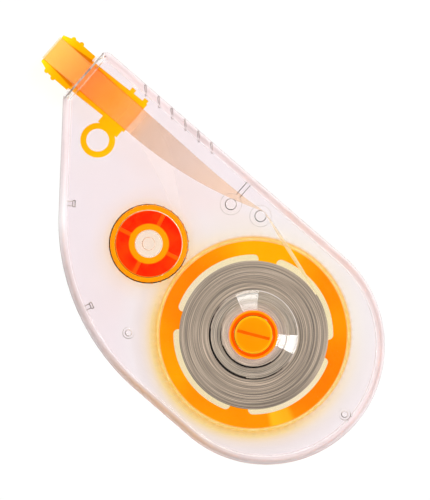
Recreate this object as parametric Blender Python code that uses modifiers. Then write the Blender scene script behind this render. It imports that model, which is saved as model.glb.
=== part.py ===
"""A correction tape dispenser, lying on the flat back of its clear case.

X runs along the case towards the applicator tip, Y across it and Z up through its thickness.
The origin is on the supply reel's axis, on the back face that the object lies on.
"""
import math

import bmesh
import bpy
from mathutils import Matrix, Vector
from mathutils.geometry import interpolate_bezier

# Tape
TAPE_WIDTH = 0.005
TAPE_THICKNESS = 0.00015
TAPE_GAP = 0.0002  # between the running tape and what it runs over
ROLL_RADIUS = 0.0138
TURN_STEP = 0.0003  # how far the outer turn of a winding climbs in one round
USED_DEPTH = 0.0006  # used film on the take-up drum
LEG_STEPS = 24  # stations along each twisting stretch
LEAVING_GUIDE = math.radians(14)  # heading of the slack tape as it leaves the near guide

# Gear train
GEAR_MODULE = 0.0005
DRIVE_TEETH = 74
TAKEUP_TEETH = 28
PRESSURE_ANGLE = math.radians(20)
ADDENDUM = 0.9  # in modules
DEDENDUM = 1.25  # in modules
BACKLASH = 0.00014
FLANK_STEPS = 3
GEAR_THICKNESS = 0.0013
GEAR_RIM = 0.0003  # wall of the low rim that stands round the flange

# Supply reel, its spindle and the clutch between them
CORE_RADIUS = 0.0046
CORE_WALL = 0.001
CORE_LIP = 0.0005  # core standing over the tape
CORE_EDGE = 0.0005  # wall of the core above its inner step
CORE_STEP = 0.0015  # depth of that step
FLANGE_THICKNESS = 0.0008
FLANGE_SLOTS = 4
SLOT_COVER = 0.0008  # part of a flange slot hidden under the roll
SLOT_SHOW = 0.00095  # part of it that shows outside the roll
BRIDGE_ANGLE = math.radians(14)
FIRST_BRIDGE = math.radians(30)
HUB_WALL = 0.0008
HUB_RISE = 0.0009  # spindle end over the dish floor
HUB_CHAMFER = 0.00025
SCREW_SLOT_WIDTH = 0.0006
SCREW_SLOT_DEPTH = 0.0008
SCREW_SLOT_ANGLE = math.radians(26.3)
KEY_MARGIN = 0.0006  # how far the hexagon key stands out from the spindle
RING_SECTION = 0.00076  # clutch ring, across its round section
GROOVE_WIDTH = 0.001

# Take-up reel
DRUM_WALL = 0.0006
DRUM_RADIUS = 0.0067
SPOKES = 4
SPOKE_WIDTH = 0.0007
FIRST_SPOKE = math.radians(13.7)
COLLAR_RADIUS = 0.00357
COLLAR_RISE = 0.0006
TAKEUP_BORE = 0.00258

# Applicator head
HEAD_REACH = 0.0073  # blade in front of the case mouth
HEAD_LENGTH = 0.0200
BLADE_THICKNESS = 0.002
TIP_THICKNESS = 0.0008
GUARD_HEIGHT = 0.0052
GUARD_TIP_HEIGHT = 0.002
GUARD_TAPER = 0.0055  # length over which blade and guards thin down to the tip
TIP_WALL = 0.00055  # side guards at the tip, at the nose and inside the case
NOSE_WALL = 0.00145
STEM_WALL = 0.00075
STEM_LEAN = 0.0003  # how far the stem's sides lean towards the straight edge at its back end
NOSE_TAPER = 0.0026
CAP_NUB_RADIUS = 0.00045
CAP_NUB_PLACES = (0.0019, 0.0036)  # back from the tip
STEM_LUG = 0.0006
STEM_LUG_PLACES = (0.0007, 0.0037)  # forward from the back end
EYE_RADIUS = 0.0032
EYE_WALL = 0.0011
EYE_THICKNESS = 0.0022
EYE_FORWARD = 0.0026  # from the head's back end
EYE_ASIDE = 0.0073  # from the head's middle line

# Case
WALL = 0.0014
EDGE_RADIUS = 0.0016
EDGE_STEPS = 3
SEAM = 0.0001  # between the two halves
CASE_CLEARANCE = 0.00145  # between the large gear and the side walls
END_SETBACK = 0.0031  # centre of the round end, behind the supply axis
MOUTH_X = 0.0552
MOUTH_CORNER = 0.0019
MOUTH_MARGIN = 0.00127  # case beside the nose, on the bulged side
EDGE_MARGIN = 0.00223  # case beside the nose, on the straight side
FLARE_X = 0.0295  # where the sloping side would meet the bulged side
FLARE_RADIUS = 0.041
DISH_RADIUS = 0.0082
DISH_STEP_RADIUS = 0.00605  # where the dish's slope eases
DISH_STEP_DEPTH = 0.00147
DISH_DEPTH = 0.00208
DISH_WALL = 0.001
DISH_LIP = 0.00015  # dish over the edge of the reel's core
GUIDE_PIN_RADIUS = 0.00098  # posts that the tape runs round
GUIDE_RADIUS = 0.002  # collars above and below the tape
GUIDE_PIN_REACH = 0.0013  # of a pin into its socket
NEAR_GUIDE_ANGLE = math.radians(-52.4)
NEAR_GUIDE_OUT = 0.0009  # boss clear of the large gear
FAR_GUIDE_ANGLE = math.radians(-39.2)
FAR_GUIDE_OUT = 0.0034
SIDE_PIN_ANGLE = math.radians(40.1)
SIDE_PIN_OUT = 0.0029
END_PIN_OUT = 0.0022
SMALL_BOSS_RADIUS = 0.0011
SMALL_PIN_RADIUS = 0.00055
RIB_WIDTH = 0.001
AXLE_PIN_RADIUS = 0.0012
THRUST_RING_WALL = 0.00117
GRIP_RIBS = 6
GRIP_PITCH = 0.00321
GRIP_FIRST_X = 0.0283
GRIP_LENGTH = 0.0021
GRIP_WIDTH = 0.0004
TONGUE_WIDTH = 0.0022
TONGUE_THICKNESS = 0.0008
TONGUE_REACH = 0.0016  # past the seam, inside the rear wall
TONGUE_PLACES = (0.0197, 0.0401)  # along the rim from the mouth's upper corner

# Clearances
RUNNING = 0.0001  # radial, between turning pieces
AXIAL = 0.0003  # between faces that lie on each other
SLIP = 0.00012  # between fixed pieces that push together
CHORD_ERROR = 0.000015  # of the straight steps that stand for arcs

# Places worked out from the driving dimensions
DRIVE_TIP = GEAR_MODULE * (DRIVE_TEETH / 2 + ADDENDUM)
DRIVE_ROOT = GEAR_MODULE * (DRIVE_TEETH / 2 - DEDENDUM)
TAKEUP_ROOT = GEAR_MODULE * (TAKEUP_TEETH / 2 - DEDENDUM)
TAKEUP_X = GEAR_MODULE * (DRIVE_TEETH + TAKEUP_TEETH) / 2
USED_RADIUS = DRUM_RADIUS + USED_DEPTH
HALF_WIDTH = DRIVE_TIP + CASE_CLEARANCE + WALL
RIM_RADIUS = min(DRIVE_ROOT - RUNNING, TAKEUP_X - USED_RADIUS - AXIAL)
FLANGE_RADIUS = RIM_RADIUS - GEAR_RIM - 2 * RUNNING
CORE_BORE = CORE_RADIUS - CORE_WALL
HUB_RADIUS = CORE_BORE - RUNNING
HUB_BORE = HUB_RADIUS - HUB_WALL
CHANNEL_WIDTH = TAPE_WIDTH + 2 * RUNNING
NOSE_HALF = CHANNEL_WIDTH / 2 + NOSE_WALL
STEM_HALF = CHANNEL_WIDTH / 2 + STEM_WALL
TIP_HALF = CHANNEL_WIDTH / 2 + TIP_WALL
HEAD_Y = -HALF_WIDTH + EDGE_MARGIN + NOSE_HALF
MOUTH_TOP_Y = HEAD_Y + NOSE_HALF + MOUTH_MARGIN
TIP_X = MOUTH_X + HEAD_REACH
HEAD_BACK_X = TIP_X - HEAD_LENGTH

GEAR_Z = WALL + AXIAL
GEAR_TOP = GEAR_Z + GEAR_THICKNESS
FLANGE_Z = GEAR_TOP + AXIAL
FLANGE_TOP = FLANGE_Z + FLANGE_THICKNESS
TAPE_Z = FLANGE_TOP + TAPE_GAP
TAPE_TOP = TAPE_Z + TAPE_WIDTH
TAPE_MID = (TAPE_Z + TAPE_TOP) / 2
CORE_TOP = TAPE_TOP + CORE_LIP
DISH_UNDER = CORE_TOP + AXIAL
DISH_FLOOR = DISH_UNDER + DISH_WALL
CASE_TOP = DISH_FLOOR + DISH_DEPTH
FRONT_UNDER = CASE_TOP - WALL
HUB_TOP = DISH_FLOOR + HUB_RISE
DRUM_TOP = TAPE_TOP + CORE_LIP
COLLAR_TOP = DRUM_TOP + COLLAR_RISE
SOCKET_Z = TAPE_TOP + TAPE_GAP
STRAND_OFFSET = TAPE_GAP + TAPE_THICKNESS / 2
BLADE_FACE = BLADE_THICKNESS / 2 + STRAND_OFFSET


def polar(radius, angle):
    """A point in plan at a radius and angle round the supply axis."""
    return Vector((radius * math.cos(angle), radius * math.sin(angle)))


SUPPLY = Vector((0, 0))
TAKEUP = Vector((TAKEUP_X, 0))
NEAR_GUIDE = polar(DRIVE_TIP + GUIDE_RADIUS + NEAR_GUIDE_OUT, NEAR_GUIDE_ANGLE)
FAR_GUIDE = polar(DRIVE_TIP + GUIDE_RADIUS + FAR_GUIDE_OUT, FAR_GUIDE_ANGLE)
SIDE_PIN = polar(DRIVE_TIP + SMALL_BOSS_RADIUS + SIDE_PIN_OUT, SIDE_PIN_ANGLE)
END_PIN = polar(DRIVE_TIP + SMALL_BOSS_RADIUS + END_PIN_OUT, math.pi)
EYE = Vector((HEAD_BACK_X + EYE_FORWARD, HEAD_Y + EYE_ASIDE))
HEAD_BACK = Vector((HEAD_BACK_X, HEAD_Y))


def new_collection(name):
    collection = bpy.data.collections.new(name)
    bpy.context.scene.collection.children.link(collection)
    return collection


def clear_scene():
    for item in list(bpy.data.objects):
        bpy.data.objects.remove(item, do_unlink=True)


clear_scene()
PARTS = new_collection("correction_tape_dispenser")
HELPERS = new_collection("construction_shapes")


def arc(centre, radius, start, end):
    """Points along an arc, both ends included, close enough to stay within the chord error."""
    step = 2 * math.acos(1 - CHORD_ERROR / radius)
    count = max(2, math.ceil(abs(end - start) / step))
    angles = [start + (end - start) * index / count for index in range(count + 1)]
    return [Vector(centre) + polar(radius, angle) for angle in angles]


def circle(radius, centre=(0, 0)):
    return arc(centre, radius, 0, 2 * math.pi)[:-1]


def rounded_outline(corners):
    """A closed anticlockwise outline through corners given as (x, y, radius), rounded by arcs."""
    outline = []
    for index, (x, y, radius) in enumerate(corners):
        corner = Vector((x, y))
        incoming = (corner - Vector(corners[index - 1][:2])).normalized()
        outgoing = (Vector(corners[(index + 1) % len(corners)][:2]) - corner).normalized()
        turn = math.atan2(incoming.cross(outgoing), incoming.dot(outgoing))
        heading = math.atan2(incoming.y, incoming.x)
        left = Vector((-incoming.y, incoming.x))
        centre = corner - incoming * radius * math.tan(turn / 2) + left * radius
        for point in arc(centre, radius, heading - math.pi / 2, heading - math.pi / 2 + turn):
            if not outline or (point - outline[-1]).length > CHORD_ERROR:
                outline.append(point)
    return outline


def case_outline():
    end_x = -END_SETBACK - HALF_WIDTH
    return rounded_outline([
        (MOUTH_X, -HALF_WIDTH, MOUTH_CORNER),
        (MOUTH_X, MOUTH_TOP_Y, MOUTH_CORNER),
        (FLARE_X, HALF_WIDTH, FLARE_RADIUS),
        (end_x, HALF_WIDTH, HALF_WIDTH),
        (end_x, -HALF_WIDTH, HALF_WIDTH),
    ])


def gear_outline(teeth, phase):
    """Involute teeth, one of them centred on the phase angle."""
    pitch = GEAR_MODULE * teeth / 2
    base = pitch * math.cos(PRESSURE_ANGLE)
    root = pitch - DEDENDUM * GEAR_MODULE
    tip = pitch + ADDENDUM * GEAR_MODULE
    half_tooth = (math.pi * GEAR_MODULE / 2 - BACKLASH) / (2 * pitch)
    widest = half_tooth + math.tan(PRESSURE_ANGLE) - PRESSURE_ANGLE

    def half_angle(radius):
        roll = math.acos(min(1, base / radius))
        return widest - (math.tan(roll) - roll)

    lowest = max(base, root)
    radii = [lowest + (tip - lowest) * step / FLANK_STEPS for step in range(FLANK_STEPS + 1)]
    if root < base:
        radii.insert(0, root)
    outline = []
    for tooth in range(teeth):
        middle = phase + 2 * math.pi * tooth / teeth
        outline += [polar(radius, middle - half_angle(radius)) for radius in radii]
        outline += [polar(radius, middle + half_angle(radius)) for radius in reversed(radii)]
    return outline


def spiral_outline(radius, lead_angle):
    """One turn of a winding: it climbs to its radius, then steps back where the tape leaves it."""
    ring = arc((0, 0), radius, lead_angle - 2 * math.pi, lead_angle)
    last = len(ring) - 1
    return [point * (1 - TURN_STEP / radius * (1 - index / last)) for index, point in enumerate(ring)]


def slot_outline(inner, outer, start, end):
    """A curved slot between two radii, with round ends."""
    middle = (inner + outer) / 2
    half = (outer - inner) / 2
    trim = half / middle
    first = arc(polar(middle, end - trim), half, end - trim, end - trim + math.pi)
    last = arc(polar(middle, start + trim), half, start + trim - math.pi, start + trim)
    far_side = arc((0, 0), outer, start + trim, end - trim)[1:-1]
    near_side = arc((0, 0), inner, end - trim, start + trim)[1:-1]
    return far_side + first + near_side + last


def mesh_object(name, mesh, collection):
    item = bpy.data.objects.new(name, mesh)
    collection.objects.link(item)
    return item


def from_bmesh(name, shape, collection):
    mesh = bpy.data.meshes.new(name)
    shape.to_mesh(mesh)
    shape.free()
    mesh.shade_smooth()
    mesh.set_sharp_from_angle(angle=math.radians(35))
    return mesh_object(name, mesh, collection)


def plate(name, loops, z_low, z_high, collection=HELPERS):
    """A flat plate between two heights; the first loop is its edge and any others are holes."""
    curve = bpy.data.curves.new(name, 'CURVE')
    curve.dimensions = '2D'
    curve.fill_mode = 'BOTH'
    curve.extrude = (z_high - z_low) / 2
    for loop in loops:
        spline = curve.splines.new('POLY')
        spline.points.add(len(loop) - 1)
        for point, place in zip(spline.points, loop):
            point.co = (place.x, place.y, 0, 1)
        spline.use_cyclic_u = True
    outline = mesh_object(name + "_outline", curve, HELPERS)
    evaluated = outline.evaluated_get(bpy.context.evaluated_depsgraph_get())
    mesh = bpy.data.meshes.new_from_object(evaluated)
    bpy.data.objects.remove(outline)
    shape = bmesh.new()
    shape.from_mesh(mesh)
    bpy.data.meshes.remove(mesh)
    bmesh.ops.remove_doubles(shape, verts=shape.verts, dist=CHORD_ERROR / 10)
    bmesh.ops.recalc_face_normals(shape, faces=shape.faces)
    bmesh.ops.translate(shape, verts=shape.verts, vec=(0, 0, (z_low + z_high) / 2))
    return from_bmesh(name, shape, collection)


def side_plate(name, loop, y_low, y_high):
    """A plate whose loop is drawn in X and Z, standing between two Y places."""
    item = plate(name, [loop], -y_high, -y_low)
    item.data.transform(Matrix.Rotation(math.pi / 2, 4, 'X'))
    return item


def cone(name, low_radius, high_radius, z_low, z_high, centre=(0, 0), sides=0):
    sides = sides or len(circle(max(low_radius, high_radius)))
    shape = bmesh.new()
    middle = Matrix.Translation((centre[0], centre[1], (z_low + z_high) / 2))
    bmesh.ops.create_cone(shape, cap_ends=True, segments=sides, radius1=low_radius,
                          radius2=high_radius, depth=z_high - z_low, matrix=middle)
    return from_bmesh(name, shape, HELPERS)


def cylinder(name, radius, z_low, z_high, centre=(0, 0)):
    return cone(name, radius, radius, z_low, z_high, centre)


def box(name, size, centre, turn=0):
    shape = bmesh.new()
    place = Matrix.Translation(centre) @ Matrix.Rotation(turn, 4, 'Z')
    bmesh.ops.create_cube(shape, size=1, matrix=place @ Matrix.Diagonal((*size, 1)))
    return from_bmesh(name, shape, HELPERS)


def turned(name, profile, collection):
    """A profile of (radius, height) points, from the top down its outer side, turned round Z."""
    shape = bmesh.new()
    points = [shape.verts.new((radius, 0, height)) for radius, height in profile]
    for start, end in zip(points, points[1:]):
        shape.edges.new((start, end))
    item = from_bmesh(name, shape, collection)
    screw = item.modifiers.new("turn", 'SCREW')
    screw.steps = len(circle(max(radius for radius, height in profile)))
    screw.render_steps = screw.steps
    screw.use_merge_vertices = True
    screw.merge_threshold = CHORD_ERROR / 10
    return item


def combine(target, tool, operation):
    """A Boolean modifier on the target; the tool itself is only a construction shape."""
    tool.hide_render = True
    tool.display_type = 'WIRE'
    modifier = target.modifiers.new(f"{operation.lower()} {tool.name}", 'BOOLEAN')
    modifier.operation = operation
    modifier.object = tool


def join(target, *tools):
    for tool in tools:
        combine(target, tool, 'UNION')


def cut(target, *tools):
    for tool in tools:
        combine(target, tool, 'DIFFERENCE')


def case_half(name, z_face, z_rim):
    """An open tray with the case's outline: a flat face with a rounded edge, and the side wall."""
    shape = bmesh.new()
    rim = [shape.verts.new((point.x, point.y, z_face)) for point in case_outline()]
    face = shape.faces.new(rim)
    walls = bmesh.ops.extrude_edge_only(shape, edges=face.edges)
    lifted = [item for item in walls["geom"] if isinstance(item, bmesh.types.BMVert)]
    bmesh.ops.translate(shape, verts=lifted, vec=(0, 0, z_rim - z_face))
    bmesh.ops.recalc_face_normals(shape, faces=shape.faces)
    half = from_bmesh(name, shape, PARTS)
    rounding = half.modifiers.new("rounded edge", 'BEVEL')
    rounding.width = EDGE_RADIUS
    rounding.segments = EDGE_STEPS
    rounding.limit_method = 'ANGLE'
    rounding.angle_limit = math.radians(60)
    shell = half.modifiers.new("wall", 'SOLIDIFY')
    shell.thickness = WALL
    shell.offset = -1
    shell.use_even_offset = True
    return half


def mouth_opening(half):
    height = GUARD_HEIGHT + 2 * AXIAL
    size = (4 * WALL, 2 * (STEM_HALF + STEM_LEAN + AXIAL), height)
    cut(half, box(half.name + "_mouth", size, (MOUTH_X, HEAD_Y, TAPE_MID)))


def grip_ribs(half, z_face, inward):
    """Short slanting ribs that fill the rounded edge along the straight side."""
    depth = EDGE_RADIUS * 0.9
    reach = GRIP_LENGTH / math.sqrt(2) / 2
    for index in range(GRIP_RIBS):
        middle = (GRIP_FIRST_X + index * GRIP_PITCH, -HALF_WIDTH + reach + GRIP_WIDTH / 2)
        place = (*middle, z_face + inward * (depth / 2 + 0.1 * EDGE_RADIUS))
        size = (GRIP_LENGTH, GRIP_WIDTH, depth)
        join(half, box(f"{half.name}_grip_{index}", size, place, math.radians(-45)))


def along_rim(distance):
    """A place on the outer rim and the inward direction there, from the mouth's upper corner on."""
    outline = case_outline()
    corner = Vector((MOUTH_X, MOUTH_TOP_Y))
    start = min(range(len(outline)), key=lambda index: (outline[index] - corner).length)
    for index in range(len(outline)):
        here = outline[(start + index) % len(outline)]
        leg = outline[(start + index + 1) % len(outline)] - here
        if distance <= leg.length:
            break
        distance -= leg.length
    heading = leg.normalized()
    return here + heading * distance, Vector((-heading.y, heading.x))


def rear_case():
    half = case_half("rear_case", 0, TAPE_MID - SEAM / 2)
    root = WALL / 2
    shoulder = TAPE_MID - EYE_THICKNESS / 2 - AXIAL
    join(
        half,
        cylinder("supply_axle", HUB_BORE - RUNNING, root, CORE_TOP, SUPPLY),
        cylinder("takeup_axle", TAKEUP_BORE - RUNNING, root, COLLAR_TOP + AXIAL, TAKEUP),
        cylinder("eye_shoulder", EYE_RADIUS - 0.3 * EYE_WALL, root, shoulder, EYE),
        cylinder("eye_post", EYE_RADIUS - EYE_WALL - SLIP, root, TAPE_MID + EYE_THICKNESS / 2, EYE),
        cylinder("near_guide_collar", GUIDE_RADIUS, root, FLANGE_TOP, NEAR_GUIDE),
        cylinder("far_guide_collar", GUIDE_RADIUS, root, FLANGE_TOP, FAR_GUIDE),
        cylinder("near_guide_pin", GUIDE_PIN_RADIUS, root, SOCKET_Z + GUIDE_PIN_REACH, NEAR_GUIDE),
        cylinder("far_guide_pin", GUIDE_PIN_RADIUS, root, SOCKET_Z + GUIDE_PIN_REACH, FAR_GUIDE),
        cylinder("side_pin", SMALL_PIN_RADIUS, root, TAPE_TOP, SIDE_PIN),
        cylinder("end_pin", SMALL_PIN_RADIUS, root, TAPE_TOP, END_PIN),
    )
    cut(half, cylinder("takeup_axle_bore", AXLE_PIN_RADIUS + SLIP, TAPE_Z, CASE_TOP, TAKEUP))
    mouth_opening(half)
    grip_ribs(half, 0, 1)
    return half


def snap_tongue(half, name, distance):
    """A tongue inside the wall that reaches past the seam, and the block that carries it."""
    edge, inward = along_rim(distance)
    turn = math.atan2(inward.y, inward.x)
    middle = edge + inward * (WALL + SLIP + TONGUE_THICKNESS / 2)
    low, high = TAPE_MID - TONGUE_REACH, TAPE_MID + 2 * TONGUE_REACH
    size = (TONGUE_THICKNESS, TONGUE_WIDTH, high - low)
    tongue = box(name, size, (*middle, (low + high) / 2), turn)
    block_low = TAPE_MID + 0.4 * TONGUE_REACH
    size = (TONGUE_THICKNESS + WALL / 2, 0.8 * TONGUE_WIDTH, high - block_low - SLIP)
    middle = edge + inward * (WALL + SLIP)
    block = box(name + "_block", size, (*middle, (block_low + high - SLIP) / 2), turn)
    join(half, tongue, block)


def hub_dish(half):
    """The dished window round the spindle: an even wall that slopes twice down to its hole."""
    root = CASE_TOP - WALL / 2
    hole = CORE_RADIUS - DISH_LIP
    step_z = CASE_TOP - DISH_STEP_DEPTH
    lift = DISH_STEP_DEPTH
    over = DISH_RADIUS + (DISH_RADIUS - DISH_STEP_RADIUS) * lift / DISH_STEP_DEPTH
    plug = turned("dish_plug", [
        (0, root),
        (DISH_RADIUS, root),
        (DISH_RADIUS, CASE_TOP - DISH_WALL),
        (DISH_STEP_RADIUS, step_z - DISH_WALL),
        (hole, DISH_UNDER),
        (0, DISH_UNDER),
    ], HELPERS)
    hollow = turned("dish_hollow", [
        (0, CASE_TOP + lift),
        (over, CASE_TOP + lift),
        (DISH_STEP_RADIUS, step_z),
        (hole, DISH_FLOOR),
        (0, DISH_FLOOR),
    ], HELPERS)
    join(half, plug)
    cut(half, hollow, cylinder("dish_hole", hole, DISH_UNDER - WALL, CASE_TOP))


def socket(half, name, centre, radius, pin_radius, z_low, pin_top):
    """A tube under the front wall that takes one of the rear half's pins."""
    root = CASE_TOP - WALL / 2
    join(half, cylinder(name, radius, z_low, root, centre))
    cut(half, cylinder(name + "_bore", pin_radius + SLIP, z_low - WALL, pin_top + AXIAL, centre))


def front_case():
    half = case_half("front_case", CASE_TOP, TAPE_MID + SEAM / 2)
    root = CASE_TOP - WALL / 2
    clamp_low = TAPE_MID + EYE_THICKNESS / 2 + AXIAL
    hub_dish(half)
    ring = [circle(USED_RADIUS, TAKEUP), circle(USED_RADIUS - THRUST_RING_WALL, TAKEUP)]
    rib_low = TAPE_TOP + 2 * AXIAL
    wall_y = -HALF_WIDTH + WALL / 2
    rib_length = FAR_GUIDE.y - GUIDE_RADIUS / 2 - wall_y
    rib_middle = (FAR_GUIDE.x, wall_y + rib_length / 2, (rib_low + root) / 2)
    end_wall = -END_SETBACK - HALF_WIDTH + WALL / 2
    leg_length = END_PIN.x - SMALL_BOSS_RADIUS / 2 - end_wall
    leg_middle = (end_wall + leg_length / 2, 0, (rib_low + root) / 2)
    join(
        half,
        plate("thrust_ring", ring, DRUM_TOP + 2 * AXIAL, root),
        cylinder("takeup_pin", AXLE_PIN_RADIUS, TAPE_MID, root, TAKEUP),
        cylinder("eye_clamp", EYE_RADIUS - 0.3 * EYE_WALL, clamp_low, root, EYE),
        box("guide_rib", (RIB_WIDTH, rib_length, root - rib_low), rib_middle),
        box("end_leg", (leg_length, RIB_WIDTH, root - rib_low), leg_middle),
    )
    pin_top = SOCKET_Z + GUIDE_PIN_REACH
    socket(half, "near_guide", NEAR_GUIDE, GUIDE_RADIUS, GUIDE_PIN_RADIUS, SOCKET_Z, pin_top)
    socket(half, "far_guide", FAR_GUIDE, GUIDE_RADIUS, GUIDE_PIN_RADIUS, SOCKET_Z, pin_top)
    socket(half, "side_socket", SIDE_PIN, SMALL_BOSS_RADIUS, SMALL_PIN_RADIUS, TAPE_MID, TAPE_TOP)
    socket(half, "end_socket", END_PIN, SMALL_BOSS_RADIUS, SMALL_PIN_RADIUS, TAPE_MID, TAPE_TOP)
    for index, distance in enumerate(TONGUE_PLACES):
        snap_tongue(half, f"tongue_{index}", distance)
    mouth_opening(half)
    grip_ribs(half, CASE_TOP, -1)
    return half


def guard_plan(side):
    """One side guard of the head in plan, on the +Y side or the -Y side of the tape channel."""
    inner = HEAD_Y + side * CHANNEL_WIDTH / 2
    shoulder_x = MOUTH_X + AXIAL
    steps = [
        (TIP_X, TIP_HALF),
        (TIP_X - NOSE_TAPER, NOSE_HALF),
        (shoulder_x, NOSE_HALF),
        (shoulder_x, STEM_HALF + side * STEM_LEAN),
        (HEAD_BACK_X, STEM_HALF - side * STEM_LEAN),
    ]
    outer = [Vector((x, HEAD_Y + side * half)) for x, half in steps]
    return [Vector((HEAD_BACK_X, inner)), Vector((TIP_X, inner))] + outer


def head_profile(back_half, tip_half, round_tip):
    """A side view of the head, in X and Z, tapering towards the tip."""
    taper_x = TIP_X - GUARD_TAPER
    back = [Vector((taper_x, TAPE_MID + back_half)), Vector((HEAD_BACK_X, TAPE_MID + back_half))]
    back += [Vector((HEAD_BACK_X, TAPE_MID - back_half)), Vector((taper_x, TAPE_MID - back_half))]
    if round_tip:
        return arc((TIP_X - tip_half, TAPE_MID), tip_half, -math.pi / 2, math.pi / 2) + back
    return [Vector((TIP_X, TAPE_MID - tip_half)), Vector((TIP_X, TAPE_MID + tip_half))] + back


def applicator_head():
    low, high = TAPE_MID - GUARD_HEIGHT / 2, TAPE_MID + GUARD_HEIGHT / 2
    head = plate("applicator_head", [guard_plan(1), guard_plan(-1)], low, high, PARTS)
    envelope = head_profile(GUARD_HEIGHT / 2 + SLIP, GUARD_TIP_HEIGHT / 2, False)
    envelope = [point + Vector((math.copysign(WALL, point.x - EYE.x), 0)) for point in envelope]
    taper = side_plate("guard_taper", envelope, HEAD_Y - 2 * NOSE_HALF, HEAD_Y + 2 * NOSE_HALF)
    combine(head, taper, 'INTERSECT')
    blade_half = CHANNEL_WIDTH / 2 + 0.6 * TIP_WALL
    blade = head_profile(BLADE_THICKNESS / 2, TIP_THICKNESS / 2, True)
    join(head, side_plate("blade", blade, HEAD_Y - blade_half, HEAD_Y + blade_half))
    eye_low, eye_high = TAPE_MID - EYE_THICKNESS / 2, TAPE_MID + EYE_THICKNESS / 2
    arm_low = HEAD_Y + CHANNEL_WIDTH / 2 + STEM_WALL / 2
    arm_high = EYE.y - EYE_RADIUS + EYE_WALL / 2
    arm_size = (1.4 * EYE_RADIUS, arm_high - arm_low, EYE_THICKNESS - 2 * SLIP)
    join(
        head,
        box("eye_arm", arm_size, (EYE.x, (arm_low + arm_high) / 2, TAPE_MID)),
        cylinder("eye", EYE_RADIUS, eye_low, eye_high, EYE),
    )
    cut(head, cylinder("eye_hole", EYE_RADIUS - EYE_WALL, eye_low - WALL, eye_high + WALL, EYE))
    for index, back in enumerate(CAP_NUB_PLACES):
        half = TIP_HALF + (NOSE_HALF - TIP_HALF) * min(1, back / NOSE_TAPER)
        low, high = TAPE_MID - 0.4 * GUARD_TIP_HEIGHT, TAPE_MID + 0.4 * GUARD_TIP_HEIGHT
        for side in (-1, 1):
            centre = (TIP_X - back, HEAD_Y + side * half)
            join(head, cylinder(f"cap_nub_{index}_{side}", CAP_NUB_RADIUS, low, high, centre))
    for index, forward in enumerate(STEM_LUG_PLACES):
        size = (STEM_LUG * 1.5, STEM_LUG * 2, EYE_THICKNESS)
        place = (HEAD_BACK_X + forward, HEAD_Y - STEM_HALF - STEM_LEAN, TAPE_MID)
        join(head, box(f"stem_lug_{index}", size, place))
    return head


def leaving_heading(centre, radius, target, target_radius):
    """Heading of a strand that leaves the right side of one circle for the right side of another."""
    across = target - centre
    lean = math.asin((radius - target_radius) / across.length)
    return math.atan2(across.y, across.x) + lean


def right_side(centre, radius, heading):
    return centre + polar(radius, heading - math.pi / 2)


def twisted_leg(start, heading, z_end):
    """Stations of a strand that stands on edge at its start and lies flat at the head's back end."""
    pull = (HEAD_BACK - start).length / 3
    leaving = start + polar(pull, heading)
    arriving = HEAD_BACK - Vector((pull, 0))
    path = interpolate_bezier(start, leaving, arriving, HEAD_BACK, LEG_STEPS + 1)
    stations = []
    for step in range(1, LEG_STEPS + 1):
        share = step / LEG_STEPS
        along = (path[step] - path[step - 1]).normalized()
        lean = math.pi / 2 * share
        climb = (z_end - TAPE_MID) * share * share * (3 - 2 * share)
        across = Vector((-along.y * math.sin(lean), along.x * math.sin(lean), math.cos(lean)))
        stations.append((Vector((path[step].x, path[step].y, TAPE_MID + climb)), across))
    return stations


def blade_leg(side):
    """Stations along one face of the blade, from the head's back end to the tip's round edge."""
    face = BLADE_FACE * side
    tip_radius = TIP_THICKNESS / 2 + STRAND_OFFSET
    tip_centre = TIP_X - TIP_THICKNESS / 2
    width = Vector((0, 1, 0))
    stations = [(Vector((TIP_X - GUARD_TAPER, HEAD_Y, TAPE_MID + face)), width)]
    for step in range(6):
        turn = math.radians(84 - 14 * step)
        across, up = tip_radius * math.cos(turn), side * tip_radius * math.sin(turn)
        stations.append((Vector((tip_centre + across, HEAD_Y, TAPE_MID + up)), width))
    return stations


def ribbon(name, stations):
    """A strip of tape through stations of (middle, direction across)."""
    last = len(stations) - 1
    shape = bmesh.new()
    bmesh.ops.create_grid(shape, x_segments=last, y_segments=1, size=1)
    for corner in shape.verts:
        middle, across = stations[round((corner.co.x + 1) / 2 * last)]
        corner.co = middle + across * (corner.co.y * TAPE_WIDTH / 2)
    strip = from_bmesh(name, shape, PARTS)
    body = strip.modifiers.new("thickness", 'SOLIDIFY')
    body.thickness = TAPE_THICKNESS
    body.offset = 0
    return strip


def fresh_tape():
    roll = ROLL_RADIUS + STRAND_OFFSET
    guide = GUIDE_PIN_RADIUS + STRAND_OFFSET
    arriving = leaving_heading(SUPPLY, roll, NEAR_GUIDE, guide)
    upright = Vector((0, 0, 1))
    bend = arc(NEAR_GUIDE, guide, arriving - math.pi / 2, LEAVING_GUIDE - math.pi / 2)
    plan = [right_side(SUPPLY, roll, arriving)] + bend
    stations = [(Vector((*point, TAPE_MID)), upright) for point in plan]
    stations += twisted_leg(bend[-1], LEAVING_GUIDE, TAPE_MID + BLADE_FACE)
    return ribbon("fresh_tape", stations + blade_leg(1))


def used_film():
    drum = USED_RADIUS + STRAND_OFFSET
    heading = leaving_heading(TAKEUP, drum, HEAD_BACK, 0)
    start = right_side(TAKEUP, drum, heading)
    stations = [(Vector((*start, TAPE_MID)), Vector((0, 0, 1)))]
    stations += twisted_leg(start, heading, TAPE_MID - BLADE_FACE)
    return ribbon("used_film", stations + blade_leg(-1))


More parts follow.
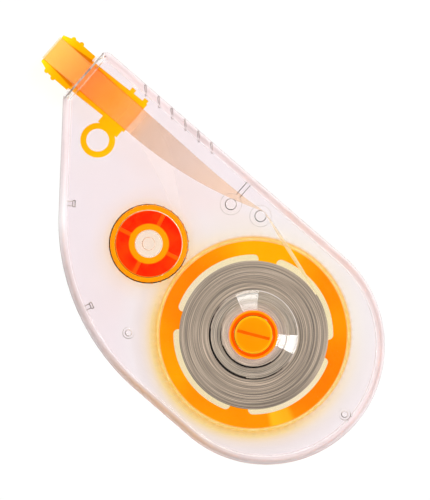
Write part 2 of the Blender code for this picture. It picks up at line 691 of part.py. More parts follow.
def drive_gear():
    hexagon = [polar(HUB_RADIUS + KEY_MARGIN + SLIP, math.radians(60 * side)) for side in range(6)]
    gear = plate("drive_gear", [gear_outline(DRIVE_TEETH, 0), hexagon], GEAR_Z, GEAR_TOP, PARTS)
    rim = [circle(RIM_RADIUS), circle(RIM_RADIUS - GEAR_RIM)]
    join(gear, plate("flange_rim", rim, GEAR_Z + GEAR_THICKNESS / 2, FLANGE_Z + FLANGE_THICKNESS / 2))
    return gear


def drive_hub():
    groove = HUB_RADIUS - RING_SECTION + RUNNING / 2
    groove_low, groove_high = TAPE_MID - GROOVE_WIDTH / 2, TAPE_MID + GROOVE_WIDTH / 2
    hub = turned("drive_hub", [
        (0, HUB_TOP),
        (HUB_RADIUS - HUB_CHAMFER, HUB_TOP),
        (HUB_RADIUS, HUB_TOP - HUB_CHAMFER),
        (HUB_RADIUS, groove_high),
        (groove, groove_high),
        (groove, groove_low),
        (HUB_RADIUS, groove_low),
        (HUB_RADIUS, GEAR_Z),
        (0, GEAR_Z),
    ], PARTS)
    key = cone("hexagon_key", HUB_RADIUS + KEY_MARGIN, HUB_RADIUS + KEY_MARGIN,
               GEAR_Z + SLIP, GEAR_TOP, sides=6)
    key.rotation_euler.z = math.radians(30)
    join(hub, key)
    slot_size = (3 * HUB_RADIUS, SCREW_SLOT_WIDTH, 2 * SCREW_SLOT_DEPTH)
    cut(
        hub,
        cylinder("hub_bore", HUB_BORE, 0, CORE_TOP + AXIAL),
        box("screw_slot", slot_size, (0, 0, HUB_TOP), SCREW_SLOT_ANGLE),
    )
    return hub


def clutch_ring():
    bpy.ops.mesh.primitive_torus_add(
        major_radius=HUB_RADIUS - RING_SECTION / 2 + RUNNING,
        minor_radius=RING_SECTION / 2 - RUNNING / 2,
        major_segments=36, minor_segments=8, location=(0, 0, TAPE_MID))
    ring = bpy.context.object
    ring.name = "clutch_ring"
    ring.data.transform(Matrix.Translation(ring.location))
    ring.location = (0, 0, 0)
    ring.data.shade_smooth()
    for collection in list(ring.users_collection):
        collection.objects.unlink(ring)
    PARTS.objects.link(ring)
    return ring


def supply_reel():
    core_middle = CORE_RADIUS - CORE_WALL / 2
    slot_span = 2 * math.pi / FLANGE_SLOTS
    loops = [circle(FLANGE_RADIUS), circle(core_middle)]
    for index in range(FLANGE_SLOTS):
        start = FIRST_BRIDGE + index * slot_span + BRIDGE_ANGLE / 2
        end = start + slot_span - BRIDGE_ANGLE
        loops.append(slot_outline(ROLL_RADIUS - SLOT_COVER, ROLL_RADIUS + SLOT_SHOW, start, end))
    reel = plate("supply_reel", loops, FLANGE_Z, FLANGE_TOP, PARTS)
    join(reel, plate("core", [circle(CORE_RADIUS), circle(CORE_BORE)], FLANGE_Z - SLIP, CORE_TOP))
    step_z = CORE_TOP - CORE_STEP
    cut(reel, cylinder("core_step", CORE_RADIUS - CORE_EDGE, step_z, CORE_TOP + CORE_STEP))
    return reel


def tape_roll():
    heading = leaving_heading(SUPPLY, ROLL_RADIUS, NEAR_GUIDE, GUIDE_PIN_RADIUS)
    edge = spiral_outline(ROLL_RADIUS, heading - math.pi / 2)
    return plate("tape_roll", [edge, circle(CORE_RADIUS + RUNNING)], TAPE_Z, TAPE_TOP, PARTS)


def pocket_outline(index):
    """One of the openings between the take-up reel's spokes."""
    inner, outer = COLLAR_RADIUS, DRUM_RADIUS - DRUM_WALL
    start = FIRST_SPOKE + 2 * math.pi * index / SPOKES
    end = start + 2 * math.pi / SPOKES
    inner_trim, outer_trim = (math.asin(SPOKE_WIDTH / 2 / radius) for radius in (inner, outer))
    far_side = arc((0, 0), outer, start + outer_trim, end - outer_trim)
    near_side = arc((0, 0), inner, end - inner_trim, start + inner_trim)
    return far_side + near_side


def takeup_reel():
    phase = math.pi + math.pi / TAKEUP_TEETH
    reel = plate("takeup_reel", [gear_outline(TAKEUP_TEETH, phase)], GEAR_Z, GEAR_TOP, PARTS)
    join(
        reel,
        cylinder("drum_spigot", TAKEUP_ROOT - RUNNING, GEAR_Z + GEAR_THICKNESS / 2, FLANGE_TOP),
        cylinder("film_flange", USED_RADIUS, FLANGE_Z, FLANGE_TOP),
        cylinder("drum", DRUM_RADIUS, FLANGE_Z, DRUM_TOP),
        cylinder("collar", COLLAR_RADIUS, TAPE_MID, COLLAR_TOP),
    )
    pockets = plate("pockets", [pocket_outline(index) for index in range(SPOKES)], FLANGE_Z, CASE_TOP)
    cut(reel, pockets, cylinder("takeup_bore", TAKEUP_BORE, 0, CASE_TOP))
    for item in reel.modifiers:
        item.object.location.xy = TAKEUP
    return reel


def used_winding():
    heading = leaving_heading(TAKEUP, USED_RADIUS, HEAD_BACK, 0)
    edge = spiral_outline(USED_RADIUS, heading - math.pi / 2)
    return plate("used_winding", [edge, circle(DRUM_RADIUS + RUNNING)], TAPE_Z, TAPE_TOP, PARTS)


def plastic(name, colour, roughness, transmission=0.0):
    material = bpy.data.materials.new(name)
    material.use_nodes = True
    shader = material.node_tree.nodes["Principled BSDF"]
    shader.inputs["Base Color"].default_value = (*colour, 1)
    shader.inputs["Roughness"].default_value = roughness
    shader.inputs["Metallic"].default_value = 0.0
    shader.inputs["Transmission Weight"].default_value = transmission
    return material


def axis_empty(name, place):
    empty = bpy.data.objects.new(name, None)
    empty.location.xy = place
    PARTS.objects.link(empty)
    return empty


def main():
    clear = plastic("clear_case", (0.93, 0.90, 0.91), 0.08, 0.9)
    gear_clear = plastic("clear_gear", (0.95, 0.93, 0.85), 0.15, 0.8)
    orange = plastic("orange_translucent", (1.0, 0.30, 0.02), 0.25, 0.3)
    rubber = plastic("dark_rubber", (0.03, 0.03, 0.03), 0.7)
    coated = plastic("coated_tape", (0.62, 0.58, 0.52), 0.5)
    film = plastic("bare_film", (0.85, 0.82, 0.78), 0.2, 0.7)
    supply_axis = axis_empty("supply_axis", SUPPLY)
    takeup_axis = axis_empty("takeup_axis", TAKEUP)
    built = [
        (rear_case(), clear, None),
        (front_case(), clear, None),
        (applicator_head(), orange, None),
        (fresh_tape(), coated, None),
        (used_film(), film, None),
        (drive_gear(), gear_clear, supply_axis),
        (drive_hub(), orange, supply_axis),
        (clutch_ring(), rubber, supply_axis),
        (supply_reel(), orange, supply_axis),
        (tape_roll(), coated, supply_axis),
        (takeup_reel(), orange, takeup_axis),
        (used_winding(), film, takeup_axis),
    ]
    for item, material, axis in built:
        item.data.materials.clear()
        item.data.materials.append(material)
        item.parent = axis


main()
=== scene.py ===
"""Looks of a correction tape dispenser: a clear case round orange reels, lying on its back.

Shapes are built in millimetres in the part's own frame and brought to metres at the end.
Materials and the studio are in metres.
"""
from math import acos, asin, atan2, ceil, copysign, cos, pi, radians, sin, sqrt, tan, tau

import bmesh
import bpy
from mathutils import Matrix, Vector, noise
from mathutils.geometry import interpolate_bezier


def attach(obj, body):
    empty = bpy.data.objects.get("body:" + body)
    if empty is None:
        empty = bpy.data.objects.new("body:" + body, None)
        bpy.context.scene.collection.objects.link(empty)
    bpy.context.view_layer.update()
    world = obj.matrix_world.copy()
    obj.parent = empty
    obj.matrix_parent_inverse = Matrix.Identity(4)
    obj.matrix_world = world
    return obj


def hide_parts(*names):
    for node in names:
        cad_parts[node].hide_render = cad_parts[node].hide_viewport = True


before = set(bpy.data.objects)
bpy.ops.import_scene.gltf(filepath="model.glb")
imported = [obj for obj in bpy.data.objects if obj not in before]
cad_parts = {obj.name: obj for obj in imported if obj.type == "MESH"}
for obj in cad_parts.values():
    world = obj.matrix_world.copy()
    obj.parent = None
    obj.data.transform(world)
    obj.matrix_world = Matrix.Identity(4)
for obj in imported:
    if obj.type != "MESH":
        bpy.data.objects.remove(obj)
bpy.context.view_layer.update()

CHORD = 0.004  # how far a straight step may lie from its arc
MERGE = 0.0005  # points nearer than this are one

# Heights through the case
WALL = 1.4
GEAR_Z, GEAR_TOP = 1.7, 3.0
FLANGE_Z, FLANGE_TOP = 3.3, 4.1
TAPE_Z, TAPE_TOP = 4.3, 9.3
TAPE_MID = 6.8
SOCKET_Z = 9.5
CORE_TOP = 9.8
DISH_UNDER, DISH_FLOOR = 10.1, 11.1
CASE_TOP = 13.18
HUB_TOP = 12.0
COLLAR_TOP = 10.4
GUIDE_TOP = SOCKET_Z + 1.3  # end of a guide pin in its socket
SEAM = 0.1  # between the case halves
AXIAL = 0.3  # play along an axis
REAR_ROOT, FRONT_ROOT = WALL / 2, CASE_TOP - WALL / 2  # where posts take hold of the walls

# Plan of the case
HALF_WIDTH = 21.8
END_X = -3.1 - HALF_WIDTH
MOUTH_X = 55.2
MOUTH_CORNER_Y = -10.2
CORNER_RADIUS = 1.9
BULGE_X, BULGE_RADIUS = 29.5, 41
EDGE_RADIUS = 1.6  # of the rounded rim
DISH_RADIUS, DISH_STEP = 8.22, 6.05
SMALL_PIN, SMALL_BOSS = 0.55, 1.1
RIB_WIDTH = 1
GRIP_LENGTH, GRIP_WIDTH, GRIP_HEIGHT = 2.1, 0.4, 1.57
GRIP_FIRST_X, GRIP_PITCH = 28.3, 3.21
GRIP_DEPTH = 0.815  # of a rib's middle under the outer face
TONGUES = (19.7, 40.1)  # along the rim from the mouth's corner

# Plan of what the case holds
HEAD_Y = -15.52
HEAD_BACK = Vector((42.5, HEAD_Y))
TIP_X = 62.5
TAPER_X = TIP_X - 5.5
BLADE_HALF, TIP_HALF = 1, 0.4  # the blade's half thickness, and at its tip
TAPE_OVER = 0.275  # from the blade to the middle of the tape on it
SUPPLY = Vector((0, 0))
TAKEUP = Vector((25.5, 0))
EYE = Vector((45.1, -8.22))
EYE_SHOULDER, EYE_GRIP = 2.87, 1.4  # radius of what clamps the eye, and its distance from the middle
EYE_HALF = 1.1
ROLL_RADIUS = 13.8
CORE_RADIUS = 4.6
FLANGE_RADIUS = 17.275
USED_RADIUS = 7.3
THRUST_RADIUS = USED_RADIUS - 1.17
DRUM_RADIUS = 6.7
COLLAR_RADIUS = 3.57
HUB_RADIUS = 3.5
TAPE_WIDTH = 5.0
GUIDE_RADIUS = 2.0
GUIDE_PIN = 0.98

# Gears
MODULE = 0.5
PRESSURE_ANGLE = radians(20)
DEDENDUM, ADDENDUM = 0.625, 0.45
BACKLASH = 0.14
DRIVE_TEETH, TAKEUP_TEETH = 74, 28


def polar(radius, angle):
    return Vector((radius * cos(angle), radius * sin(angle)))


def degrees(radius, angle):
    return polar(radius, radians(angle))


NEAR_GUIDE = degrees(21.85, -52.4)
FAR_GUIDE = degrees(24.35, -39.2)
GUIDES = (NEAR_GUIDE, FAR_GUIDE)
LEAVING_GUIDE = radians(14)
SIDE_PIN = degrees(22.95, 40.1)
END_PIN = Vector((-22.25, 0))
PINS = (SIDE_PIN, END_PIN)


# Plan outlines

def arc(centre, radius, start, end):
    """Points along an arc, both ends included."""
    step = 2 * acos(1 - CHORD / radius)
    count = max(3, ceil(abs(end - start) / step))
    return [Vector(centre) + polar(radius, start + (end - start) * k / count) for k in range(count + 1)]


def circle(radius):
    return arc((0, 0), radius, 0, tau)[:-1]


def rounded_outline(corners):
    """A closed anticlockwise outline through corners given as (x, y, radius)."""
    outline = []
    for index, (x, y, radius) in enumerate(corners):
        corner = Vector((x, y))
        incoming = (corner - Vector(corners[index - 1][:2])).normalized()
        outgoing = (Vector(corners[(index + 1) % len(corners)][:2]) - corner).normalized()
        turn = atan2(incoming.cross(outgoing), incoming.dot(outgoing))
        first = atan2(incoming.y, incoming.x) - pi / 2
        left = Vector((-incoming.y, incoming.x))
        centre = corner - incoming * radius * tan(turn / 2) + left * radius
        for point in arc(centre, radius, first, first + turn):
            if not outline or (point - outline[-1]).length > 0.02:
                outline.append(point)
    return outline


def case_outline():
    return rounded_outline([
        (MOUTH_X, -HALF_WIDTH, CORNER_RADIUS),
        (MOUTH_X, MOUTH_CORNER_Y, CORNER_RADIUS),
        (BULGE_X, HALF_WIDTH, BULGE_RADIUS),
        (END_X, HALF_WIDTH, HALF_WIDTH),
        (END_X, -HALF_WIDTH, HALF_WIDTH),
    ])


def gear_outline(teeth, phase):
    """Involute teeth, one of them on the phase angle."""
    pitch = teeth * MODULE / 2
    base = pitch * cos(PRESSURE_ANGLE)
    root, tip = pitch - DEDENDUM, pitch + ADDENDUM
    half_tooth = (pi * MODULE / 2 - BACKLASH) / (2 * pitch)
    widest = half_tooth + tan(PRESSURE_ANGLE) - PRESSURE_ANGLE
    lowest = max(base, root)
    radii = [lowest + (tip - lowest) * step / 4 for step in range(5)]
    if root < base:
        radii.insert(0, root)

    def half_angle(radius):
        roll = acos(min(1, base / radius))
        return widest - (tan(roll) - roll)

    outline = []
    for tooth in range(teeth):
        middle = phase + tau * tooth / teeth
        outline += [polar(radius, middle - half_angle(radius)) for radius in radii]
        outline += [polar(radius, middle + half_angle(radius)) for radius in reversed(radii)]
    return outline


def slot_outline(inner, outer, start, end):
    """A curved slot between two radii, with round ends."""
    middle, half = (inner + outer) / 2, (outer - inner) / 2
    trim = half / middle
    start, end = start + trim, end - trim
    first = arc(polar(middle, end), half, end, end + pi)
    last = arc(polar(middle, start), half, start - pi, start)
    far_side = arc((0, 0), outer, start, end)[1:-1]
    near_side = arc((0, 0), inner, end, start)[1:-1]
    return far_side + first + near_side + last


# Solids

def placed(name, data):
    item = bpy.data.objects.new(name, data)
    bpy.context.scene.collection.objects.link(item)
    return item


def from_bmesh(name, shape):
    mesh = bpy.data.meshes.new(name)
    shape.to_mesh(mesh)
    shape.free()
    return placed(name, mesh)


def clean(shape, near=MERGE):
    bmesh.ops.remove_doubles(shape, verts=shape.verts, dist=near)
    bmesh.ops.recalc_face_normals(shape, faces=shape.faces)


def built_mesh(item):
    """A new mesh of an object with its modifiers."""
    evaluated = item.evaluated_get(bpy.context.evaluated_depsgraph_get())
    return bpy.data.meshes.new_from_object(evaluated)


def plate(name, loops, z_low, z_high):
    """A flat plate; the first loop is its edge and any others inside it are holes."""
    curve = bpy.data.curves.new(name, 'CURVE')
    curve.dimensions = '2D'
    curve.fill_mode = 'BOTH'
    curve.extrude = (z_high - z_low) / 2
    for loop in loops:
        spline = curve.splines.new('POLY')
        spline.points.add(len(loop) - 1)
        spline.points.foreach_set("co", [number for place in loop for number in (*place, 0, 1)])
        spline.use_cyclic_u = True
    outline = placed(name, curve)
    mesh = built_mesh(outline)
    bpy.data.objects.remove(outline)
    bpy.data.curves.remove(curve)
    shape = bmesh.new()
    shape.from_mesh(mesh)
    bpy.data.meshes.remove(mesh)
    clean(shape)
    bmesh.ops.translate(shape, verts=shape.verts, vec=(0, 0, (z_low + z_high) / 2))
    flat = [edge for edge in shape.edges if len(edge.link_faces) == 2 and edge.calc_face_angle() < 0.001]
    bmesh.ops.dissolve_edges(shape, edges=flat, use_verts=False)
    return from_bmesh(name, shape)


def side_plate(name, loop, half_width):
    """A plate whose loop is drawn in X and Z, standing across the head."""
    item = plate(name, [loop], -(HEAD_Y + half_width), -(HEAD_Y - half_width))
    item.data.transform(Matrix.Rotation(pi / 2, 4, 'X'))
    return item


def cylinder(name, radius, z_low, z_high, centre=(0, 0), sides=0):
    shape = bmesh.new()
    middle = Matrix.Translation((*centre, (z_low + z_high) / 2))
    bmesh.ops.create_cone(shape, cap_ends=True, segments=sides or len(circle(radius)), radius1=radius,
                          radius2=radius, depth=z_high - z_low, matrix=middle)
    return from_bmesh(name, shape)


def box(name, size, centre, turn=0, soft=0.0):
    shape = bmesh.new()
    place = Matrix.Translation(centre) @ Matrix.Rotation(turn, 4, 'Z')
    bmesh.ops.create_cube(shape, size=1, matrix=place @ Matrix.Diagonal((*size, 1)))
    if soft:
        bmesh.ops.bevel(shape, geom=shape.edges, offset=soft, segments=4, profile=0.5, affect='EDGES')
    return from_bmesh(name, shape)


def spin(shape, points, edges, steps):
    bmesh.ops.spin(shape, geom=points + edges, axis=(0, 0, 1), cent=(0, 0, 0), steps=steps,
                   angle=tau, use_merge=True)


def turned(name, profile, centre=(0, 0)):
    """A solid turned round Z from (radius, height) points."""
    shape = bmesh.new()
    points = [shape.verts.new((radius, 0, height)) for radius, height in profile]
    edges = [shape.edges.new(pair) for pair in zip(points, points[1:])]
    spin(shape, points, edges, len(circle(max(radius for radius, height in profile))))
    clean(shape)
    bmesh.ops.translate(shape, verts=shape.verts, vec=(*centre, 0))
    return from_bmesh(name, shape)


def post(name, radius, z_root, z_end, centre, bore=0.0, fillet=0.2):
    """A post or sleeve that stands on a wall, with the rim of its free end rounded."""
    up = 1 if z_end > z_root else -1
    rounding = [polar(fillet, pi / 16 * step) for step in range(9)]
    outer = [(radius - fillet + point.x, z_end - up * (fillet - point.y)) for point in rounding]
    if bore:
        inner = [(bore + fillet - point.x, z_end - up * (fillet - point.y)) for point in rounding]
        profile = [(radius, z_root)] + outer + inner[::-1] + [(bore, z_root), (radius, z_root)]
    else:
        profile = [(0, z_root), (radius, z_root)] + outer + [(0, z_end)]
    return turned(name, profile, centre)


def combine(target, operation, *tools):
    for tool in tools:
        modifier = target.modifiers.new(operation, 'BOOLEAN')
        modifier.operation = operation
        modifier.object = tool
    bake(target)
    for tool in tools:
        bpy.data.objects.remove(tool)


def join(target, *tools):
    combine(target, 'UNION', *tools)


def cut(target, *tools):
    combine(target, 'DIFFERENCE', *tools)


def bake(item):
    """Turns an object's modifiers into mesh."""
    bpy.context.view_layer.update()
    mesh = built_mesh(item)
    old = item.data
    item.modifiers.clear()
    item.data = mesh
    bpy.data.meshes.remove(old)


def bevel(item, width, segments, angle):
    modifier = item.modifiers.new("bevel", 'BEVEL')
    modifier.width = width
    modifier.segments = segments
    modifier.limit_method = 'ANGLE'
    modifier.angle_limit = radians(angle)
    return modifier


def soften(item, width, angle=40):
    """Rounds sharp edges a little, as on a moulding."""
    bevel(item, width, 2, angle).miter_outer = 'MITER_ARC'
    bake(item)
    return item


def settle(item, body, node, slot, *materials, sharp=35, weighted=True):
    """Brings a finished piece to metres, dresses it and sets it on its body in its node's place."""
    item.data.transform(Matrix.Scale(0.001, 4))
    item.data.shade_smooth()
    item.data.set_sharp_from_angle(angle=radians(sharp))
    if weighted:
        normals = item.modifiers.new("flat faces stay flat", 'WEIGHTED_NORMAL')
        normals.keep_sharp = True
        normals.weight = 100
    last = len(materials) - 1
    places = [min(face.material_index, last) for face in item.data.polygons]
    item.data.materials.clear()
    for one in materials:
        item.data.materials.append(one)
    item.data.polygons.foreach_set("material_index", places)
    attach(item, body)
    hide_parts(node)


# Case
# Its faces have material 0 where they are plain, 1 on the rim, whose veil carries painted light and shade, 2
# on marked edges, whose colour is painted shade and highlight, and 3 in the dish.

def tray(name, z_face, z_rim):
    """An open tray with the case's outline: a flat face with a rounded edge, and the side wall."""
    shape = bmesh.new()
    rim = [shape.verts.new((*point, z_face)) for point in case_outline()]
    face = shape.faces.new(rim)
    walls = bmesh.ops.extrude_edge_only(shape, edges=face.edges)
    lifted = [item for item in walls["geom"] if isinstance(item, bmesh.types.BMVert)]
    bmesh.ops.translate(shape, verts=lifted, vec=(0, 0, z_rim - z_face))
    clean(shape)
    half = from_bmesh(name, shape)
    bevel(half, EDGE_RADIUS, 16, 60)
    shell = half.modifiers.new("wall", 'SOLIDIFY')
    shell.thickness = WALL
    shell.offset = -1
    shell.use_even_offset = True
    bake(half)
    return half


def mouth(half):
    width, height = 7.9, 5.8
    cut(half, box("mouth", (4 * WALL, width, height), (MOUTH_X, HEAD_Y, TAPE_MID)))


def grip_ribs(half, z_face, inward):
    """Slanting ribs in the edge of the straight side; returns them for mark_edges."""
    reach = GRIP_LENGTH / sqrt(2) / 2
    size = (GRIP_LENGTH, GRIP_WIDTH, GRIP_HEIGHT)
    y, z = -HALF_WIDTH + reach + GRIP_WIDTH / 2, z_face + inward * GRIP_DEPTH
    blocks = [(0.0, size, (GRIP_FIRST_X + GRIP_PITCH * index, y, z), radians(-45)) for index in range(6)]
    join(half, *(box("grip", *block[1:], soft=0.12) for block in blocks))
    return blocks


def rear_case():
    half = tray("case_back", 0, TAPE_MID - SEAM / 2)
    posts = [
        post("supply_axle", 2.6, REAR_ROOT, CORE_TOP, SUPPLY),
        post("takeup_axle", 2.48, REAR_ROOT, COLLAR_TOP + AXIAL, TAKEUP),
        cylinder("eye_shoulder", EYE_SHOULDER, REAR_ROOT, TAPE_MID - EYE_GRIP, EYE),
        post("eye_post", 1.98, REAR_ROOT, TAPE_MID + EYE_HALF, EYE),
    ]
    posts += [post("collar", GUIDE_RADIUS, REAR_ROOT, FLANGE_TOP, guide) for guide in GUIDES]
    posts += [post("pin", GUIDE_PIN, REAR_ROOT, GUIDE_TOP, guide) for guide in GUIDES]
    posts += [post("pin", SMALL_PIN, REAR_ROOT, TAPE_TOP, pin) for pin in PINS]
    join(half, *posts)
    cut(half, cylinder("axle_bore", 1.32, TAPE_Z, CASE_TOP, TAKEUP))
    mouth(half)
    grip_ribs(half, 0, 1)
    mark_rim(half, 0, -1)
    return half


def along_rim(distance):
    """A place on the rim and the inward direction there, measured from the mouth's upper corner."""
    outline = case_outline()
    corner = Vector((MOUTH_X, MOUTH_CORNER_Y))
    start = min(range(len(outline)), key=lambda index: (outline[index] - corner).length)
    rim = outline[start:] + outline[:start]
    for here, there in zip(rim, rim[1:]):
        leg = there - here
        if distance <= leg.length:
            break
        distance -= leg.length
    heading = leg.normalized()
    return here + heading * distance, Vector((-heading.y, heading.x))


def snap_tongue(half, distance):
    """A tongue on a block, beside the rim; returns both for mark_edges."""
    edge, inward = along_rim(distance)
    turn = atan2(inward.y, inward.x)
    blocks = []
    for dark, depth, width, inset, low, high in (
        (-0.05, 0.6, 1.3, 2.75, TAPE_MID - 1.6, TAPE_MID + 3.2),
        (-0.2, 2.7, 1.0, 1.65, TAPE_MID + 0.64, TAPE_MID + 3.08),
    ):
        centre = (*(edge + inward * inset), (low + high) / 2)
        blocks.append((dark, (depth, width, high - low), centre, turn))
    join(half, *(box("tongue", *block[1:], soft=0.17) for block in blocks))
    return blocks


def socket(half, centre, radius, pin, z_low, pin_top):
    """A sleeve on the front, with a bore for a pin that narrows at its end."""
    bore, bore_end, chamfer = pin + 0.12, pin_top + AXIAL, 0.14
    join(half, post("socket", radius, FRONT_ROOT, z_low, centre, fillet=0.06))
    cut(half, turned("socket_bore", [
        (0, bore_end), (bore - chamfer, bore_end), (bore, bore_end - chamfer),
        (bore, z_low - WALL), (0, z_low - WALL),
    ], centre))


def hub_dish(half):
    """Two cones let into the front round a hole, with narrow rings of faces at their edges."""
    hole = CORE_RADIUS - 0.15
    outer = DISH_RADIUS - 0.02
    above = CASE_TOP + 1
    plug = turned("dish_plug", [
        (0, FRONT_ROOT), (outer, FRONT_ROOT), (outer, CASE_TOP - 1), (DISH_STEP, CASE_TOP - 2.47),
        (hole, DISH_UNDER), (0, DISH_UNDER),
    ])
    rim, step = Vector((DISH_RADIUS, CASE_TOP)), Vector((DISH_STEP, CASE_TOP - 1.484))
    floor = Vector((hole, DISH_FLOOR))
    lines = [rim.lerp(step, share) for share in (0, 0.06, 0.12, 0.18, 0.955)]
    lines += [step.lerp(floor, share) for share in (0, 0.075, 0.15, 1)]
    hollow = turned("dish_hollow", [(0, above), (DISH_RADIUS, above), *map(tuple, lines), (0, DISH_FLOOR)])
    join(half, plug)
    cut(half, hollow, cylinder("dish_hole", hole, DISH_UNDER - WALL, CASE_TOP))


def mark_dish(half):
    """Gives the two cones of the dish their own material."""
    for face in half.data.polygons:
        if face.center.xy.length < DISH_RADIUS and face.center.z > DISH_FLOOR and 0.5 < face.normal.z < 0.98:
            face.material_index = 3


def mark_rim(half, z_face, outward):
    """Gives the rounded outer edge its own material, except over the head."""
    for face in half.data.polygons:
        tilted = 0.02 < face.normal.z * outward < 0.995
        at_face = abs(face.center.z - z_face) < EDGE_RADIUS + 0.01
        over_head = face.center.x > MOUTH_X - 2.5 and abs(face.center.y - HEAD_Y) < 5.2
        if tilted and at_face and face.center.xy.length > DISH_RADIUS + 0.78 and not over_head:
            face.material_index = 1


def mark(half, face, dark):
    """Gives a face the edge material, whose colour is painted shade and highlight; how dark it is, from -1 to
    1, goes into the attribute facing.
    """
    face.material_index = 2
    half.data.attributes["facing"].data[face.index].value = dark


def mark_ring(half, centre, inner, outer, heights, least, angle, middle=0.0, change=1.0):
    """Marks a round edge where its cosine to the angle is over least; its painted shade darkens towards the
    angle, the side away from the key light.
    """
    direction = degrees(1, angle)
    for face in half.data.polygons:
        out = face.center.xy - centre
        toward = out.normalized().dot(direction)
        if inner < out.length < outer and heights[0] < face.center.z < heights[1] and toward > least:
            mark(half, face, middle + change * toward)


def mark_block(half, dark, size, centre, turn):
    """Marks the rounding of a block."""
    straight = Matrix.Rotation(-turn, 3, 'Z')
    for face in half.data.polygons:
        place, normal = straight @ (face.center - Vector(centre)), straight @ face.normal
        within = all(abs(at) < side / 2 for at, side in zip(place, size))
        if within and sorted(map(abs, normal))[1] > 0.15:
            mark(half, face, dark)


def mark_edges(half, blocks):
    """Marks the edges that show from above, round ones, those of blocks and the mouth's, for painted shade
    and highlight.
    """
    half.data.attributes.new("facing", 'FLOAT', 'FACE')
    dish, step = (CASE_TOP - 0.4, CASE_TOP - 0.01), (CASE_TOP - 1.7, CASE_TOP - 1.3)
    under = (CORE_TOP + 0.55, CORE_TOP + 0.81)
    # Each ring: centre, inner and outer radius, heights, least cosine, the angle towards which its painted
    # shade darkens, and the middle and change of that darkness.
    rings = [
        (SUPPLY, 8.09, DISH_RADIUS, dish, -2, 86),
        (SUPPLY, 7.96, 8.09, dish, 0.0, 86),
        (SUPPLY, 7.83, 7.96, dish, 0.7, 76),
        (SUPPLY, DISH_STEP, 6.15, step, -0.6, 112),
        (SUPPLY, 5.93, DISH_STEP, step, 0.1, 112),
        (SUPPLY, 5.81, 5.93, step, 0.6, 112),
        (TAKEUP, USED_RADIUS - 0.12, USED_RADIUS + 0.01, under, -2, 86, 0.55, 0.5),
        (TAKEUP, USED_RADIUS - 0.2, USED_RADIUS - 0.12, under, -0.4, 86, 0.3, 0.7),
        (TAKEUP, THRUST_RADIUS - 0.01, THRUST_RADIUS + 0.1, under, -2, 86, -0.2, 0.7),
    ]
    end, foot = (SOCKET_Z + 1.45, SOCKET_Z + 1.65), (SOCKET_Z - 0.01, SOCKET_Z + 0.1)
    for guide in GUIDES:
        rings.append((guide, GUIDE_PIN - 0.05, GUIDE_PIN + 0.12, end, -2, 86, 0.1, 0.4))
        rings.append((guide, GUIDE_RADIUS - 0.08, GUIDE_RADIUS + 0.01, foot, -2, 86, -0.3, 0.2))
    end, foot = (TAPE_TOP, TAPE_TOP + 0.4), (TAPE_MID - 0.01, TAPE_MID + 0.1)
    for pin in PINS:
        rings.append((pin, SMALL_PIN - 0.03, SMALL_PIN + 0.13, end, -2, 86, -0.3, 0.25))
        rings.append((pin, SMALL_BOSS - 0.07, SMALL_BOSS + 0.01, foot, -2, 86, -0.2, 0.25))
    for ring in rings:
        mark_ring(half, *ring)
    for block in blocks:
        mark_block(half, *block)
    for face in half.data.polygons:
        if 0.4 < MOUTH_X - face.center.x < 0.65 and face.normal.x > 0.4 and face.normal.z > 0.4:
            mark(half, face, -0.22)


def front_case():
    half = tray("case_front", CASE_TOP, TAPE_MID + SEAM / 2)
    hub_dish(half)
    rib_low = TAPE_TOP + 2 * AXIAL
    height, middle = FRONT_ROOT - rib_low, (rib_low + FRONT_ROOT) / 2
    side_wall, end_wall = -HALF_WIDTH + WALL / 2, END_X + WALL / 2
    rib = FAR_GUIDE.y - GUIDE_RADIUS / 2 - side_wall
    leg = END_PIN.x - SMALL_PIN - end_wall
    # Each block: the darkness of the shade painted on its edges, its size, centre and turn.
    blocks = [
        (0.0, (RIB_WIDTH, rib, height), (FAR_GUIDE.x, side_wall + rib / 2, middle), 0),
        (-0.12, (leg, RIB_WIDTH, height), (end_wall + leg / 2, 0, middle), 0),
    ]
    join(
        half,
        post("thrust_ring", USED_RADIUS, FRONT_ROOT, CORE_TOP + 2 * AXIAL, TAKEUP, bore=THRUST_RADIUS),
        post("takeup_pin", 1.2, FRONT_ROOT, TAPE_MID, TAKEUP),
        cylinder("eye_clamp", EYE_SHOULDER, TAPE_MID + EYE_GRIP, FRONT_ROOT, EYE),
        *(box("rib", *block[1:], soft=0.15) for block in blocks),
    )
    for guide in GUIDES:
        socket(half, guide, GUIDE_RADIUS, GUIDE_PIN, SOCKET_Z, GUIDE_TOP)
    for pin in PINS:
        socket(half, pin, SMALL_BOSS, SMALL_PIN, TAPE_MID, TAPE_TOP)
    for distance in TONGUES:
        blocks += snap_tongue(half, distance)
    mouth(half)
    blocks += grip_ribs(half, CASE_TOP, -1)
    mark_rim(half, CASE_TOP, 1)
    mark_dish(half)
    mark_edges(half, blocks)
    return half


# Applicator head

TIP_SIDE, GUARD_SIDE = 3.15, 4.05  # outer faces of the guards, at the tip and behind its slope
GUARD_INSIDE = 2.6
SLOPE = 2.6  # length along which the guards widen


def guard_plan(side):
    """A side guard in plan; side is 1 towards +Y and -1 towards -Y."""
    steps = [
        (HEAD_BACK.x, GUARD_INSIDE),
        (TIP_X, GUARD_INSIDE),
        (TIP_X, TIP_SIDE),
        (TIP_X - SLOPE, GUARD_SIDE),
        (MOUTH_X + 0.3, GUARD_SIDE),
        (MOUTH_X + 0.3, 3.35 + side * 0.3),
        (HEAD_BACK.x, 3.35 - side * 0.3),
    ]
    return [Vector((x, HEAD_Y + side * half)) for x, half in steps]


def head_profile(back_half, tip_half, round_tip):
    """A side view of the head, in X and Z, tapering towards the tip."""
    top, bottom = TAPE_MID + back_half, TAPE_MID - back_half
    back = [(TAPER_X, top), (HEAD_BACK.x, top), (HEAD_BACK.x, bottom), (TAPER_X, bottom)]
    tip = [(TIP_X, TAPE_MID - tip_half), (TIP_X, TAPE_MID + tip_half)]
    if round_tip:
        tip = arc((TIP_X - tip_half, TAPE_MID), tip_half, -pi / 2, pi / 2)
    return [Vector(point) for point in tip + back]


